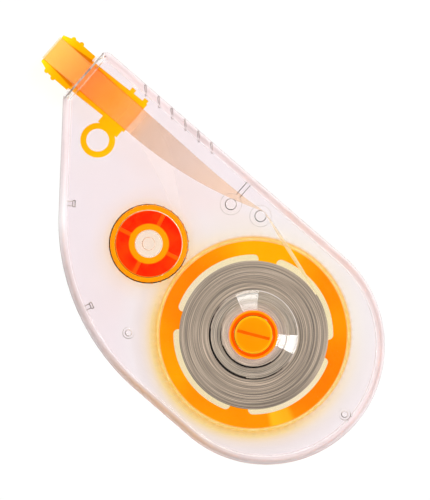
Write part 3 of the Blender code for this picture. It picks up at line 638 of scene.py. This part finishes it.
def applicator_head():
    guard_half = 2.6
    head = plate("head", [guard_plan(1), guard_plan(-1)], TAPE_MID - guard_half, TAPE_MID + guard_half)
    envelope = head_profile(guard_half + 0.12, 1, False)
    envelope = [point + Vector((copysign(WALL, point.x - EYE.x), 0)) for point in envelope]
    combine(head, 'INTERSECT', side_plate("guard_taper", envelope, 8))
    arm_low, arm_high = HEAD_Y + 2.975, EYE.y - 2.65
    join(
        head,
        side_plate("blade", head_profile(BLADE_HALF, TIP_HALF, True), 2.93),
        box("eye_arm", (4.48, arm_high - arm_low, 1.96), (EYE.x, (arm_low + arm_high) / 2, TAPE_MID)),
        cylinder("eye", 3.2, TAPE_MID - EYE_HALF, TAPE_MID + EYE_HALF, EYE),
    )
    cut(head, cylinder("eye_hole", 2.1, TAPE_MID - 2.5, TAPE_MID + 2.5, EYE))
    details = []
    for back in (1.9, 3.6):
        half = TIP_SIDE + (GUARD_SIDE - TIP_SIDE) * min(1, back / SLOPE)
        for side in (-1, 1):
            centre = (TIP_X - back, HEAD_Y + side * half)
            details.append(cylinder("cap_nub", 0.45, TAPE_MID - 0.8, TAPE_MID + 0.8, centre))
    for forward in (0.7, 3.7):
        details.append(box("stem_lug", (0.9, 1.2, 2.2), (HEAD_BACK.x + forward, HEAD_Y - 3.65, TAPE_MID)))
    join(head, *details)
    return soften(head, 0.12)


# Tape

def leaving_heading(centre, radius, target, target_radius):
    """Heading of a strand from the right side of one round thing to the right side of another."""
    across = target - centre
    return atan2(across.y, across.x) + asin((radius - target_radius) / across.length)


def right_side(centre, radius, heading):
    return centre + polar(radius, heading - pi / 2)


def twisted_leg(start, heading, z_end, steps=60):
    """Stations of a strand that stands on edge at its start and lies flat at the head's back end."""
    pull = (HEAD_BACK - start).length / 3
    knots = (start, start + polar(pull, heading), HEAD_BACK - Vector((pull, 0)), HEAD_BACK)
    path = interpolate_bezier(*knots, steps + 1)
    stations = []
    for step in range(1, steps + 1):
        share = step / steps
        along = (path[step] - path[step - 1]).normalized()
        lean = pi / 2 * share
        climb = (z_end - TAPE_MID) * share * share * (3 - 2 * share)
        across = Vector((-along.y * sin(lean), along.x * sin(lean), cos(lean)))
        stations.append((Vector((*path[step], TAPE_MID + climb)), across))
    return stations


def blade_leg(side):
    """Stations along one face of the blade, from where it tapers to the tip's round edge."""
    radius = TIP_HALF + TAPE_OVER
    places = [(TAPER_X, TAPE_MID + (BLADE_HALF + TAPE_OVER) * side)]
    for step in range(14):
        turn = radians(84 - 6 * step)
        places.append((TIP_X - TIP_HALF + radius * cos(turn), TAPE_MID + side * radius * sin(turn)))
    return [(Vector((x, HEAD_Y, z)), Vector((0, 1, 0))) for x, z in places]


def ribbon(name, stations, thickness):
    """A strip of tape through stations of (middle, direction across)."""
    last = len(stations) - 1
    shape = bmesh.new()
    bmesh.ops.create_grid(shape, x_segments=last, y_segments=4, size=1)
    for corner in shape.verts:
        middle, across = stations[round((corner.co.x + 1) / 2 * last)]
        corner.co = middle + across * (corner.co.y * TAPE_WIDTH / 2)
    strip = from_bmesh(name, shape)
    body = strip.modifiers.new("thickness", 'SOLIDIFY')
    body.thickness = thickness
    body.offset = 0
    bake(strip)
    return strip


def fresh_tape():
    roll, guide = ROLL_RADIUS + 0.1, GUIDE_PIN + 0.1
    steps = 12
    arriving = leaving_heading(SUPPLY, roll, NEAR_GUIDE, guide)
    bend = arc(NEAR_GUIDE, guide, arriving - pi / 2, LEAVING_GUIDE - pi / 2)
    start = right_side(SUPPLY, roll, arriving)
    plan = [start.lerp(bend[0], step / steps) for step in range(steps)] + bend
    outward = polar(1, arriving - pi / 2)
    stations = []
    for index, point in enumerate(plan):
        lean = radians(6.5) * sin(pi * min(index, steps) / steps)
        across = Vector((*(outward * sin(lean)), cos(lean)))
        stations.append((Vector((*point, TAPE_MID)), across))
    stations += twisted_leg(bend[-1], LEAVING_GUIDE, TAPE_MID + BLADE_HALF + TAPE_OVER)
    return ribbon("tape_strand", stations + blade_leg(1), 0.1)


def used_film():
    drum = USED_RADIUS + 0.1
    heading = leaving_heading(TAKEUP, drum, HEAD_BACK, 0)
    start = right_side(TAKEUP, drum, heading)
    stations = [(Vector((*start, TAPE_MID)), Vector((0, 0, 1)))]
    stations += twisted_leg(start, heading, TAPE_MID - BLADE_HALF - TAPE_OVER)
    return ribbon("film_strand", stations + blade_leg(-1), 0.04)


def winding(name, inner, outer, turns, lead, sides, centre):
    """Tape wound in one spiral out to the lead angle, its edge a little uneven."""
    groove = 0.03
    pitch = (outer - inner) / turns
    total = turns * sides
    shape = bmesh.new()

    def point(radius, angle, height):
        return shape.verts.new((*(centre + polar(radius, angle)), height))

    rows = []
    for station in range(total + 1):
        angle = lead - tau * (total - station) / sides
        turn = station / sides
        inside = inner + pitch * max(0, turn - 1)
        width = inner + pitch * station / sides - inside
        drift = Vector((turn * 1.7, cos(angle) * 0.6, sin(angle) * 0.6))
        lift = 0.5 * groove * noise.noise(drift)
        dip = groove * (0.55 + 0.45 * noise.noise(Vector((int(turn) * 3.3, 7.1, 0.4))))
        section = ((0, dip), (0.15, 0), (0.85, 0.6 * groove), (1, dip))
        rows.append([point(inside + width * share, angle, TAPE_TOP - groove - drop + lift)
                     for share, drop in section])
    for here, there in zip(rows, rows[1:]):
        for k in range(3):
            shape.faces.new((here[k], here[k + 1], there[k + 1], there[k]))
    edge = [row[3] for row in rows[-sides - 1:]]
    under = [shape.verts.new((*corner.co.xy, TAPE_Z)) for corner in edge]
    within = [point(inner, lead - tau * (sides - k) / sides, TAPE_Z) for k in range(sides + 1)]
    for k in range(sides):
        shape.faces.new((edge[k], under[k], under[k + 1], edge[k + 1]))
        shape.faces.new((under[k], within[k], within[k + 1], under[k + 1]))
    shape.faces.new((edge[0], edge[-1], under[-1], under[0]))
    clean(shape, 0.0002)
    return from_bmesh(name, shape)


def tape_roll():
    lead = leaving_heading(SUPPLY, ROLL_RADIUS, NEAR_GUIDE, GUIDE_PIN) - pi / 2
    return winding("roll", CORE_RADIUS + 0.1, ROLL_RADIUS, 42, lead, 150, SUPPLY)


def used_winding():
    lead = leaving_heading(TAKEUP, USED_RADIUS, HEAD_BACK, 0) - pi / 2
    return winding("spent_winding", DRUM_RADIUS + 0.1, USED_RADIUS, 5, lead, 120, TAKEUP)


# Reels and gears

def drive_gear():
    hexagon = [degrees(HUB_RADIUS + 0.72, 60 * side) for side in range(6)]
    gear = plate("gear_disc", [gear_outline(DRIVE_TEETH, 0), hexagon], GEAR_Z, GEAR_TOP)
    rim_top = FLANGE_Z + 0.4
    rim = [circle(FLANGE_RADIUS + 0.5), circle(FLANGE_RADIUS + 0.2)]
    join(gear, plate("gear_rim", rim, GEAR_Z + 0.65, rim_top))
    for face in gear.data.polygons:
        if face.center.z > rim_top - 0.01:
            face.material_index = 1
    return gear


def drive_hub():
    groove_low, groove_high, groove_radius = TAPE_MID - 0.5, TAPE_MID + 0.5, 2.79
    hub = turned("spindle", [
        (0, HUB_TOP), (3.0, HUB_TOP), (3.25, HUB_TOP - 0.05), (3.42, HUB_TOP - 0.15),
        (HUB_RADIUS, HUB_TOP - 0.32), (HUB_RADIUS, groove_high), (groove_radius, groove_high),
        (groove_radius, groove_low), (HUB_RADIUS, groove_low), (HUB_RADIUS, GEAR_Z), (0, GEAR_Z),
    ])
    key = cylinder("hexagon_key", HUB_RADIUS + 0.6, GEAR_Z + 0.12, GEAR_TOP, sides=6)
    key.data.transform(Matrix.Rotation(radians(30), 4, 'Z'))
    join(hub, key)
    cut(hub, cylinder("hub_bore", 2.7, 0, CORE_TOP + AXIAL),
        box("screw_slot", (6.1, 0.6, 1.6), (0, 0, HUB_TOP), radians(26.3)))
    return soften(hub, 0.06, 50)


def clutch_ring():
    sides, thickness, middle = 16, 0.33, HUB_RADIUS - 0.28
    shape = bmesh.new()
    section = [polar(thickness, tau * k / sides) for k in range(sides)]
    points = [shape.verts.new((middle + out.x, 0, TAPE_MID + out.y)) for out in section]
    edges = [shape.edges.new((points[k], points[(k + 1) % sides])) for k in range(sides)]
    spin(shape, points, edges, 72)
    clean(shape)
    return from_bmesh("rubber_ring", shape)


def supply_reel():
    bore = CORE_RADIUS - 0.5
    loops = [circle(FLANGE_RADIUS), circle(bore)]
    for index in range(4):
        start = radians(37 + 90 * index)
        loops.append(slot_outline(13.0, 14.75, start, start + radians(76)))
    reel = plate("reel", loops, FLANGE_Z, FLANGE_TOP)
    join(reel, plate("core", [circle(CORE_RADIUS), circle(CORE_RADIUS - 1)], FLANGE_Z - 0.12, CORE_TOP))
    cut(reel, cylinder("core_step", bore, CORE_TOP - 1.5, CORE_TOP + 1))
    return soften(reel, 0.1)


def pocket_outline(index):
    """An opening between the take-up reel's spokes."""
    inner, outer, half_spoke = COLLAR_RADIUS, DRUM_RADIUS - 0.6, 0.35
    start = radians(13.7 + 90 * index)
    end = start + pi / 2
    inner_trim, outer_trim = (asin(half_spoke / radius) for radius in (inner, outer))
    return arc((0, 0), outer, start + outer_trim, end - outer_trim) + arc(
        (0, 0), inner, end - inner_trim, start + inner_trim)


def takeup_reel():
    reel = plate("spool", [gear_outline(TAKEUP_TEETH, pi + pi / TAKEUP_TEETH)], GEAR_Z, GEAR_TOP)
    join(
        reel,
        cylinder("drum_spigot", 6.275, GEAR_Z + 0.65, FLANGE_TOP),
        cylinder("film_flange", USED_RADIUS, FLANGE_Z, FLANGE_TOP),
        cylinder("drum", DRUM_RADIUS, FLANGE_Z, CORE_TOP),
        cylinder("collar", COLLAR_RADIUS, TAPE_MID, COLLAR_TOP),
    )
    cut(reel, plate("pockets", [pocket_outline(index) for index in range(4)], FLANGE_Z, CASE_TOP),
        cylinder("takeup_bore", 2.58, 0, CASE_TOP))
    soften(reel, 0.08).data.transform(Matrix.Translation((*TAKEUP, 0)))
    return reel


# Materials

WHITE = (1, 1, 1, 1)


def srgb(*colour):
    """A colour written in 0 to 255 as screens show it."""
    shares = [value / 255 for value in colour]
    return (*(part / 12.92 if part <= 0.04045 else ((part + 0.055) / 1.055) ** 2.4 for part in shares), 1)


def grey(place, level):
    return (place, level, level, level)


class Value:
    """What a node gives, on which further nodes are built."""

    def __init__(self, tree, socket=None):
        self.tree, self.socket = tree, socket

    def add(self, kind, inputs=(), output=0, **settings):
        node = self.tree.nodes.new("ShaderNode" + kind)
        for key, value in settings.items():
            setattr(node, key, value)
        for key, value in dict(inputs).items():
            if isinstance(value, Value):
                self.tree.links.new(value.socket, node.inputs[key])
            else:
                node.inputs[key].default_value = value
        return Value(self.tree, node.outputs[output])

    def math(self, operation, other=0.0):
        return self.add("Math", {0: self, 1: other}, operation=operation)

    def __add__(self, other):
        return self.math('ADD', other)

    def __sub__(self, other):
        return self.math('SUBTRACT', other)

    def __mul__(self, other):
        return self.math('MULTIPLY', other)

    def __abs__(self):
        return self.math('ABSOLUTE')

    def most(self, other):
        return self.math('MAXIMUM', other)

    def span(self, low, high, to_low=0.0, to_high=1.0):
        inputs = {"Value": self, "From Min": low, "From Max": high, "To Min": to_low, "To Max": to_high}
        return self.add("MapRange", inputs, "Result")

    def noise(self, scale, detail):
        return self.add("TexNoise", {"Vector": self, "Scale": scale, "Detail": detail}, "Fac")

    def ramp(self, *stops):
        """A colour ramp with stops of (place, red, green, blue)."""
        colour = self.add("ValToRGB", {"Fac": self}, "Color")
        marks = colour.socket.node.color_ramp.elements
        while len(marks) < len(stops):
            marks.new(0.5)
        for mark, (place, *shade) in zip(marks, stops):
            mark.position = place
            mark.color = (*shade[:3], 1)
        return colour

    def paint(self, *stops):
        """A ramp whose colours are written in 0 to 255."""
        return self.ramp(*((place, *srgb(*shade)) for place, *shade in stops))

    def blend(self, first, second, mode='MIX'):
        """From one colour to another; they are inputs 6 and 7 of the node, and output 2."""
        return self.add("Mix", {0: self, 6: first, 7: second}, 2, data_type='RGBA', blend_type=mode)

    def bump(self, strength, distance):
        return self.add("Bump", {"Height": self, "Strength": strength, "Distance": distance})

    def split(self):
        parts = self.add("SeparateXYZ", {0: self}).socket.node.outputs
        return [Value(self.tree, part) for part in parts]

    def around(self, centre):
        """Distance from an upright axis, angle round it in turns from -0.5 to 0.5, and height."""
        axis = (centre.x / 1000, centre.y / 1000, 0)
        x, y, z = self.add("VectorMath", {0: self, 1: axis}, operation='SUBTRACT').split()
        return (x * x + y * y).math('SQRT'), y.math('ARCTAN2', x) * (1 / tau), z

    def rays(self, *kinds):
        """1 for rays of one of these kinds, 0 for the rest."""
        share, *others = [self.add("LightPath", output=f"Is {kind} Ray") for kind in kinds]
        for other in others:
            share = share.most(other)
        return share

    def skin(self, colour, rough, **others):
        inputs = {key.replace("_", " "): value for key, value in others.items()}
        return self.add("BsdfPrincipled", {"Base Color": colour, "Roughness": rough, **inputs})

    def clear(self, colour=WHITE):
        return self.add("BsdfTransparent", {"Color": colour})

    def mix(self, first, second):
        return self.add("MixShader", {0: self, 1: first, 2: second})


def fill(owner, output, coordinates, build, *values, **settings):
    """Gives a material or the world the shader that build makes from its coordinates."""
    owner.use_nodes = True
    tree = owner.node_tree
    tree.nodes.clear()
    shader = build(Value(tree).add("TexCoord", output=coordinates), *values, **settings)
    tree.links.new(shader.socket, tree.nodes.new(output).inputs["Surface"])
    return owner


def look(name, build, *values, **settings):
    material = bpy.data.materials.new(name)
    return fill(material, "ShaderNodeOutputMaterial", "Object", build, *values, **settings)


def clear_plastic(place, paint, rough, waviness, veil=None, ior=1.4):
    """Clear polystyrene: faint moulding waves, open to lamp light and to light long caught inside it."""
    waves = place.noise(160, 1)
    fine = place.noise(2600, 3)
    normal = (waves + fine * 0.02).bump(waviness, 0.0004)
    polish = fine.span(0.35, 0.75, rough * 0.5, rough * 1.6)
    shader = place.skin(paint(place), polish, IOR=ior, Transmission_Weight=1.0, Normal=normal)
    if veil:
        share, colour = veil(place, waves)
        satin = place.skin(colour, fine.span(0.35, 0.75, 0.3, 0.5), Normal=normal)
        shader = share.mix(shader, satin)
    deep = place.add("LightPath", output="Ray Depth").math('GREATER_THAN', 5.5)
    return place.rays("Shadow", "Diffuse").most(deep).mix(shader, place.clear())


def rim_veil(place, waves):
    """The bloom of the rounded edge, carrying painted light: a painted highlight by the mouth, painted taupe
    shade along the bulged side, painted amber glow beside the gear, and painted shade at the foot.
    """
    x, y, _ = place.split()
    _, ny, nz = place.add("TexCoord", output="Normal").split()
    bloom = waves.paint((0.3, 238, 214, 215), (0.7, 246, 226, 229))
    # A painted highlight on the rounding near the mouth.
    pale = y.span(0.0, 0.008) * x.span(0.036, 0.041)
    bloom = pale.blend(bloom, srgb(253, 248, 250))
    # Painted taupe shade along the bulged side, away from the key light.
    shade = ny.span(0.0, 0.4) * x.span(0.040, 0.034)
    bloom = shade.blend(bloom, srgb(200, 180, 178))
    # Painted amber glow on the bulged side beside the gear.
    beside = x.span(0.020, 0.010) * x.span(-0.013, -0.004)
    bloom = (shade * beside).blend(bloom, srgb(206, 162, 124))
    # Painted shade at the foot of the rounding, with painted amber glow beside the gear.
    foot = abs(nz).span(0.5, 0.2)
    foot_shade_and_glow = shade.blend(srgb(186, 172, 172), srgb(150, 116, 100))
    foot_shade_and_glow = (shade * x.span(0.020, 0.012)).blend(foot_shade_and_glow, srgb(240, 140, 60))
    return ny.span(-0.2, 0.5, 0.55, 0.72), foot.blend(bloom, foot_shade_and_glow, 'MULTIPLY')


def dish_veil(place, waves):
    """A painted warm glow on the inner cone, where it lies round the orange hub."""
    radius = place.around(SUPPLY)[0]
    hub_glow = waves.paint((0.3, 232, 196, 182), (0.7, 240, 208, 198))
    return radius.span(0.0062, 0.0050, 0.0, 0.3), hub_glow


def case_paint(place):
    """A breath of lilac in the flat outer faces, with painted amber glow round the two reels at the back, and
    painted shade further out round the supply reel on the side away from the key light.
    """
    radius, turn, z = place.around(SUPPLY)
    depth = abs(z - CASE_TOP / 2000)
    outer = depth.span(0.00645, 0.00655) * radius.span(0.0175, 0.026, 0.3, 1.0)
    cloud = place.noise(60, 2).ramp((0.35, 1, 0.885, 0.91), (0.65, 0.995, 0.905, 0.95))
    tint = outer.blend(WHITE, cloud)
    back = z.span(0.0006, 0.0002)
    # Painted amber glow just outside the supply reel, then painted shade further out.
    painted_amber_light = radius.span(0.016, 0.023).ramp(
        (0.12, 1, 1, 1), (0.2, 1, 0.34, 0.02), (0.3, 1, 0.42, 0.05), (0.42, 1, 0.62, 0.17),
        (0.6, 0.94, 0.76, 0.6), (0.76, 0.9, 0.8, 0.77), (1, 0.98, 0.95, 0.97))
    # The painted light is strongest on the side away from the key light, where the orange pieces' light
    # falls.
    side = (turn * tau).math('SINE')
    share = side.span(-0.7, 0.5, 0.2, 1.0).most(radius.span(0.0186, 0.0180))
    tint = (back * share).blend(tint, painted_amber_light, 'MULTIPLY')
    # A painted amber glow in a ring round the take-up reel.
    painted_amber_light = place.around(TAKEUP)[0].span(0.0, 0.011).ramp(
        (0.25, 1, 0.93, 0.72), (0.3, 1, 1, 1), (0.58, 1, 1, 1), (0.63, 1, 0.8, 0.5),
        (0.7, 1, 0.8, 0.55), (0.79, 1, 0.93, 0.84), (1, 1, 1, 1))
    return back.blend(tint, painted_amber_light, 'MULTIPLY')


def edge_look(place):
    """Round edges of the clear front, with painted shade on the side away from the light and a painted
    highlight towards it.
    """
    facing = place.add("Attribute", output="Fac", attribute_name="facing")
    grain = place.noise(900, 2)
    side = facing + grain.span(0.3, 0.7, -0.25, 0.25)
    colour = side.span(-1, 1).paint(
        (0.0, 250, 242, 236), (0.3, 205, 190, 180), (0.5, 120, 104, 96), (0.72, 34, 24, 20), (1, 14, 8, 6))
    skin = place.skin(colour, grain.span(0.3, 0.7, 0.2, 0.4), Specular_IOR_Level=0.2)
    return place.rays("Shadow", "Diffuse").mix(skin, place.clear())


def gear_paint(place):
    """A pale straw tint that fades before the teeth."""
    straw = (255, 246, 221)
    return place.around(SUPPLY)[0].span(0.012, 0.019).paint(
        (0, *straw), (0.45, *straw), (0.72, 255, 248, 226), (0.8, 255, 255, 252))


def orange_plastic(place, paint, amber):
    """Orange polystyrene that lets amber light through to what lies behind it."""
    cloud = place.noise(420, 3)
    colour = cloud.span(0.3, 0.7, 0.0, 0.08).blend(paint(place), srgb(255, 190, 0))
    fine = place.noise(3500, 2)
    normal = (cloud * 0.8 + fine * 0.15).bump(0.12, 0.0002)
    rough = fine.span(0.3, 0.7, 0.24, 0.375)
    skin = place.skin(colour, rough, IOR=1.5, Specular_IOR_Level=0.1, Normal=normal)
    return place.rays("Shadow", "Diffuse").mix(skin, place.clear(amber))


def head_paint(place):
    """Yellow guards and an orange blade, deepest under the mouth, with a painted shadow along the inner edge
    of each guard.
    """
    x, y, _ = place.split()
    along = x.span(0.0425, 0.0625)
    face = along.paint(
        (0, 255, 148, 10), (0.3, 255, 140, 10), (0.55, 255, 88, 0), (0.75, 255, 132, 0), (1, 255, 180, 20))
    guard = along.paint((0, 255, 194, 0), (0.6, 255, 158, 0), (0.85, 255, 184, 0), (1, 255, 232, 0))
    aside = abs(y - HEAD_Y / 1000)
    colour = aside.span(0.00255, 0.00275).blend(face, guard)
    # Painted shadow along each guard's inner edge, widening towards the mouth, in dark red-orange.
    near = x.span(0.0612, 0.0552, 0.0, 0.0007) - abs(aside - 0.00265)
    wedge = near.span(0.0, 0.00025, 0.0, 0.8) * x.span(0.0530, 0.0552)
    return wedge.blend(colour, srgb(206, 84, 0))


def reel_paint(place):
    """An uneven flange with a painted highlight patch, a sector of painted light, painted shade in two
    opposite sectors, and a core painted redder down its gap as shade.
    """
    radius, turn, z = place.around(SUPPLY)
    # Painted shade: the core turns redder down the gap round the hub.
    core = z.span(0.0082, 0.0098).paint((0.1, 255, 84, 0), (0.6, 255, 112, 0), (0.95, 255, 148, 10))
    flange = place.noise(70, 2).paint((0.35, 255, 134, 0), (0.55, 255, 148, 0), (0.75, 255, 166, 0))
    # A painted highlight patch on the flange.
    pale = turn.span(0.390, 0.400) * turn.span(0.440, 0.430)
    flange = (pale * 0.8).blend(flange, srgb(255, 205, 40))
    # A sector of painted light, yellower than the rest.
    warm = turn.span(-0.235, -0.2) * turn.span(-0.06, -0.12)
    flange = (warm * 0.65).blend(flange, srgb(255, 184, 0))
    # Painted shade in two opposite sectors.
    quarter = (turn * (2 * tau)).math('COSINE')
    flange = quarter.span(0.2, 1.0, 0.0, 0.55).blend(flange, srgb(255, 108, 0))
    return radius.span(0.0050, 0.0054).blend(core, flange)


def hub_paint(place):
    radius, _, z = place.around(SUPPLY)
    # The top turns yellow at its rounded rim, a painted highlight.
    top = radius.span(0.0024, 0.0035).paint((0, 255, 144, 0), (0.6, 255, 150, 0), (1, 255, 196, 0))
    # The side wall under the top is painted darker, as shade in the gap round the hub.
    return z.span(0.0113, 0.0118).blend(srgb(246, 100, 0), top)


def spool_paint(place):
    radius, _, z = place.around(TAKEUP)
    # The pockets are painted redder towards their floors, as shade and the light bounced between the orange
    # walls.
    pocket = z.span(0.003, 0.0099).paint((0, 255, 30, 0), (0.7, 255, 38, 0), (1, 255, 90, 0))
    rim = radius.span(0.0060, 0.0062).most(radius.span(0.0038, 0.0036))
    return rim.blend(pocket, srgb(255, 158, 0))


def wound_tape(place):
    """Tape seen on the edges of its turns: thin lighter and darker lines that run round the axis."""
    radius, turn, _ = place.around(SUPPLY)
    angle = turn * tau
    drift = [angle.math(wave) * 0.00008 for wave in ('COSINE', 'SINE')]
    ring = place.add("CombineXYZ", {0: radius, 1: drift[0], 2: drift[1]})
    fine = ring.noise(12000, 2)
    tone = ring.noise(6500, 1) * 0.4 + fine * 0.6
    base = (148, 134, 118)
    dark, light = ([part * level for part in base] for level in (0.5, 1.44))
    colour = tone.paint((0.34, *dark), (0.5, *base), (0.66, *light))
    skin = place.skin(colour, fine.span(0.3, 0.7, 0.34, 0.5), IOR=1.45, Normal=tone.bump(0.25, 0.00006))
    share = place.rays("Shadow", "Diffuse") * 0.98
    return share.mix(skin, place.clear((1, 0.95, 0.86, 1)))


def strand_tape(place):
    """The coated tape in one thickness: warm grey, and thin enough for light to come through."""
    along = place.split()[0].span(-0.002, 0.0625)
    streak = place.noise(900, 2)
    # The tape's warm grey carries painted light along the strand: a pale peach glow from the supply reel near
    # the roll and the guide, painted shade in the middle of the twist, and painted orange and yellow glow
    # from the head where it lies on it.
    tint = along.paint(
        (0, 255, 246, 214), (0.2, 255, 238, 200), (0.33, 250, 208, 158), (0.5, 204, 172, 148),
        (0.64, 196, 158, 122), (0.7, 255, 186, 106), (0.75, 255, 200, 104), (1, 255, 232, 140))
    colour = streak.span(0.3, 0.7, 0.0, 0.14).blend(tint, srgb(190, 168, 150))
    skin = place.skin(colour, streak.span(0.3, 0.7, 0.3, 0.42), IOR=1.45)
    glow = place.add("BsdfTranslucent", {"Color": colour})
    body = place.add("MixShader", {0: 0.4, 1: skin, 2: glow})
    cover = along.ramp(
        grey(0.11, 0.85), grey(0.16, 0.3), grey(0.25, 0.26), grey(0.5, 0.26), grey(0.64, 0.34),
        grey(0.7, 0.46), grey(0.77, 0.17), grey(0.86, 0.17), grey(1, 0.3))
    share = cover * place.rays("Shadow").span(0, 1, 1, 0)
    return share.mix(place.clear((1, 0.95, 0.9, 1)), body)


def bare_film(place, low, high, veil):
    """Film after its coating has gone, clear with a faint veil; on the plain film the veil is left on it, on
    the gear's rim and the wound film it is a painted glow of the orange parts.
    """
    streak = place.noise(700, 3)
    colour = streak.paint((0.3, *low), (0.7, *high))
    skin = place.skin(colour, streak.span(0.3, 0.7, 0.18, 0.3), Specular_IOR_Level=0.2)
    return place.rays("Shadow").span(0, 1, veil, 0).mix(place.clear(), skin)


def rubber(place):
    grain = place.noise(3000, 3)
    colour = grain.ramp((0.3, 0.012, 0.012, 0.012), (0.7, 0.035, 0.034, 0.033))
    return place.skin(colour, grain.span(0.3, 0.7, 0.6, 0.8), Normal=grain.bump(0.3, 0.00005))


def dress():
    """Builds the twelve pieces and settles each in the place of its node."""
    case = look("clear_case", clear_plastic, case_paint, 0.008, 0.05)
    rim = look("clear_rim", clear_plastic, case_paint, 0.008, 0.05, rim_veil)
    dish = look("clear_dish", clear_plastic, case_paint, 0.06, 0.02, dish_veil)
    edge = look("clear_edge", edge_look)
    gear = look("clear_gear", clear_plastic, gear_paint, 0.012, 0.05, ior=1.3)
    # A yellow veil on the top of the gear's rim, a painted glow from the orange flange beside it.
    gear_edge = look("gear_edge", bare_film, (255, 206, 100), (255, 236, 170), 0.6)
    film = look("bare_film", bare_film, (232, 226, 222), (250, 246, 242), 0.07)
    # An orange veil on the used winding, a painted glow from the orange reel under it.
    wound_film = look("wound_film", bare_film, (255, 150, 0), (255, 176, 20), 0.3)
    coated = look("coated_tape", wound_tape)
    strand = look("tape_strand", strand_tape)
    head = look("orange_head", orange_plastic, head_paint, (1, 0.995, 0.97, 1))
    hub = look("orange_hub", orange_plastic, hub_paint, (1, 0.9, 0.6, 1))
    reel = look("orange_reel", orange_plastic, reel_paint, (1, 0.97, 0.7, 1))
    spool = look("orange_spool", orange_plastic, spool_paint, (1, 0.985, 0.93, 1))
    settle(rear_case(), "case", "rear_case", "clear_case", case, rim, sharp=12.5)
    settle(front_case(), "case", "front_case", "clear_case", case, rim, edge, dish, sharp=12.5)
    settle(applicator_head(), "case", "applicator_head", "orange_head", head)
    settle(fresh_tape(), "case", "fresh_tape", "tape_strand", strand, weighted=False)
    settle(used_film(), "case", "used_film", "bare_film", film, weighted=False)
    settle(drive_gear(), "drive", "drive_gear", "clear_gear", gear, gear_edge)
    settle(drive_hub(), "drive", "drive_hub", "orange_reel", hub)
    settle(clutch_ring(), "drive", "clutch_ring", "clutch_rubber", look("clutch_rubber", rubber))
    settle(supply_reel(), "supply", "supply_reel", "orange_reel", reel)
    settle(tape_roll(), "supply", "tape_roll", "coated_tape", coated, sharp=20, weighted=False)
    settle(takeup_reel(), "takeup", "takeup_reel", "orange_reel", spool)
    settle(used_winding(), "takeup", "used_winding", "bare_film", wound_film, sharp=80, weighted=False)


# Studio

def camera():
    """Straight down, turned so that the head points to the upper left."""
    x, y, z = 0.01555, -0.00713, 0.0066
    distance, sensor, turn = 1.6, 36, 221
    seen = 0.0921  # the length that fills the picture's height
    data = bpy.data.cameras.new("camera")
    data.sensor_width = sensor
    data.lens = sensor * distance / seen
    data.clip_end = 20
    item = placed("camera", data)
    item.location = (x, y, z + distance)
    item.rotation_euler.z = radians(turn)
    bpy.context.scene.camera = item


def white_floor(place):
    colour = place.noise(300, 2).ramp(grey(0.3, 0.94), grey(0.7, 0.96))
    matt = place.add("BsdfDiffuse", {"Color": colour})
    white = place.add("Emission", {"Color": WHITE, "Strength": 1.0})
    return (place.rays("Camera", "Glossy", "Transmission") * 0.45).mix(matt, white)


def floor():
    shape = bmesh.new()
    bmesh.ops.create_grid(shape, x_segments=4, y_segments=4, size=4)
    item = from_bmesh("floor", shape)
    item.location.z = -0.0003
    item.data.materials.append(look("white_floor", white_floor))


def tent(place, level):
    """An even pale tent, darker at its foot and in the small opening overhead."""
    tone = place.split()[2].ramp(
        grey(0.0, 0.45), grey(0.12, 0.6), grey(0.3, 0.95), grey(0.86, 1.0), grey(0.93, 0.03))
    cloth = place.add("Background", {"Color": tone, "Strength": level})
    return place.rays("Camera").mix(cloth, place.add("Background", {"Color": WHITE}))


def softbox(name, azimuth, elevation, width, height, radiance, card=False):
    """A flat lamp 1 m off that faces the dish; a card only shows in what shines, the others only light."""
    data = bpy.data.lights.new(name, 'AREA')
    data.shape = 'RECTANGLE'
    data.size, data.size_y = width, height
    data.energy = radiance * pi * width * height
    az, el = radians(azimuth), radians(elevation)
    away = Vector((cos(az) * cos(el), sin(az) * cos(el), sin(el)))
    item = placed(name, data)
    item.location = away + Vector((0, 0, 0.012))
    item.rotation_euler = away.to_track_quat('Z', 'Y').to_euler()
    item.visible_diffuse = not card
    item.visible_glossy = card


def studio():
    scene = bpy.context.scene
    scene.view_settings.view_transform = 'Standard'
    scene.cycles.max_bounces = 24
    scene.cycles.glossy_bounces = 12
    scene.cycles.transmission_bounces = 20
    scene.cycles.transparent_max_bounces = 40
    camera()
    floor()
    scene.world = fill(bpy.data.worlds.new("tent"), "ShaderNodeOutputWorld", "Generated", tent, 0.8)
    softbox("key", -94, 62, 0.3, 0.3, 21)
    for elevation in (21.3, 48.3):
        spread = cos(radians(elevation))
        softbox("strip_top", 140, elevation, 0.55 * spread, 0.12, 9, card=True)
        softbox("strip_right", 28.5, elevation, 0.45 * spread, 0.12, 22, card=True)


studio()
dress()
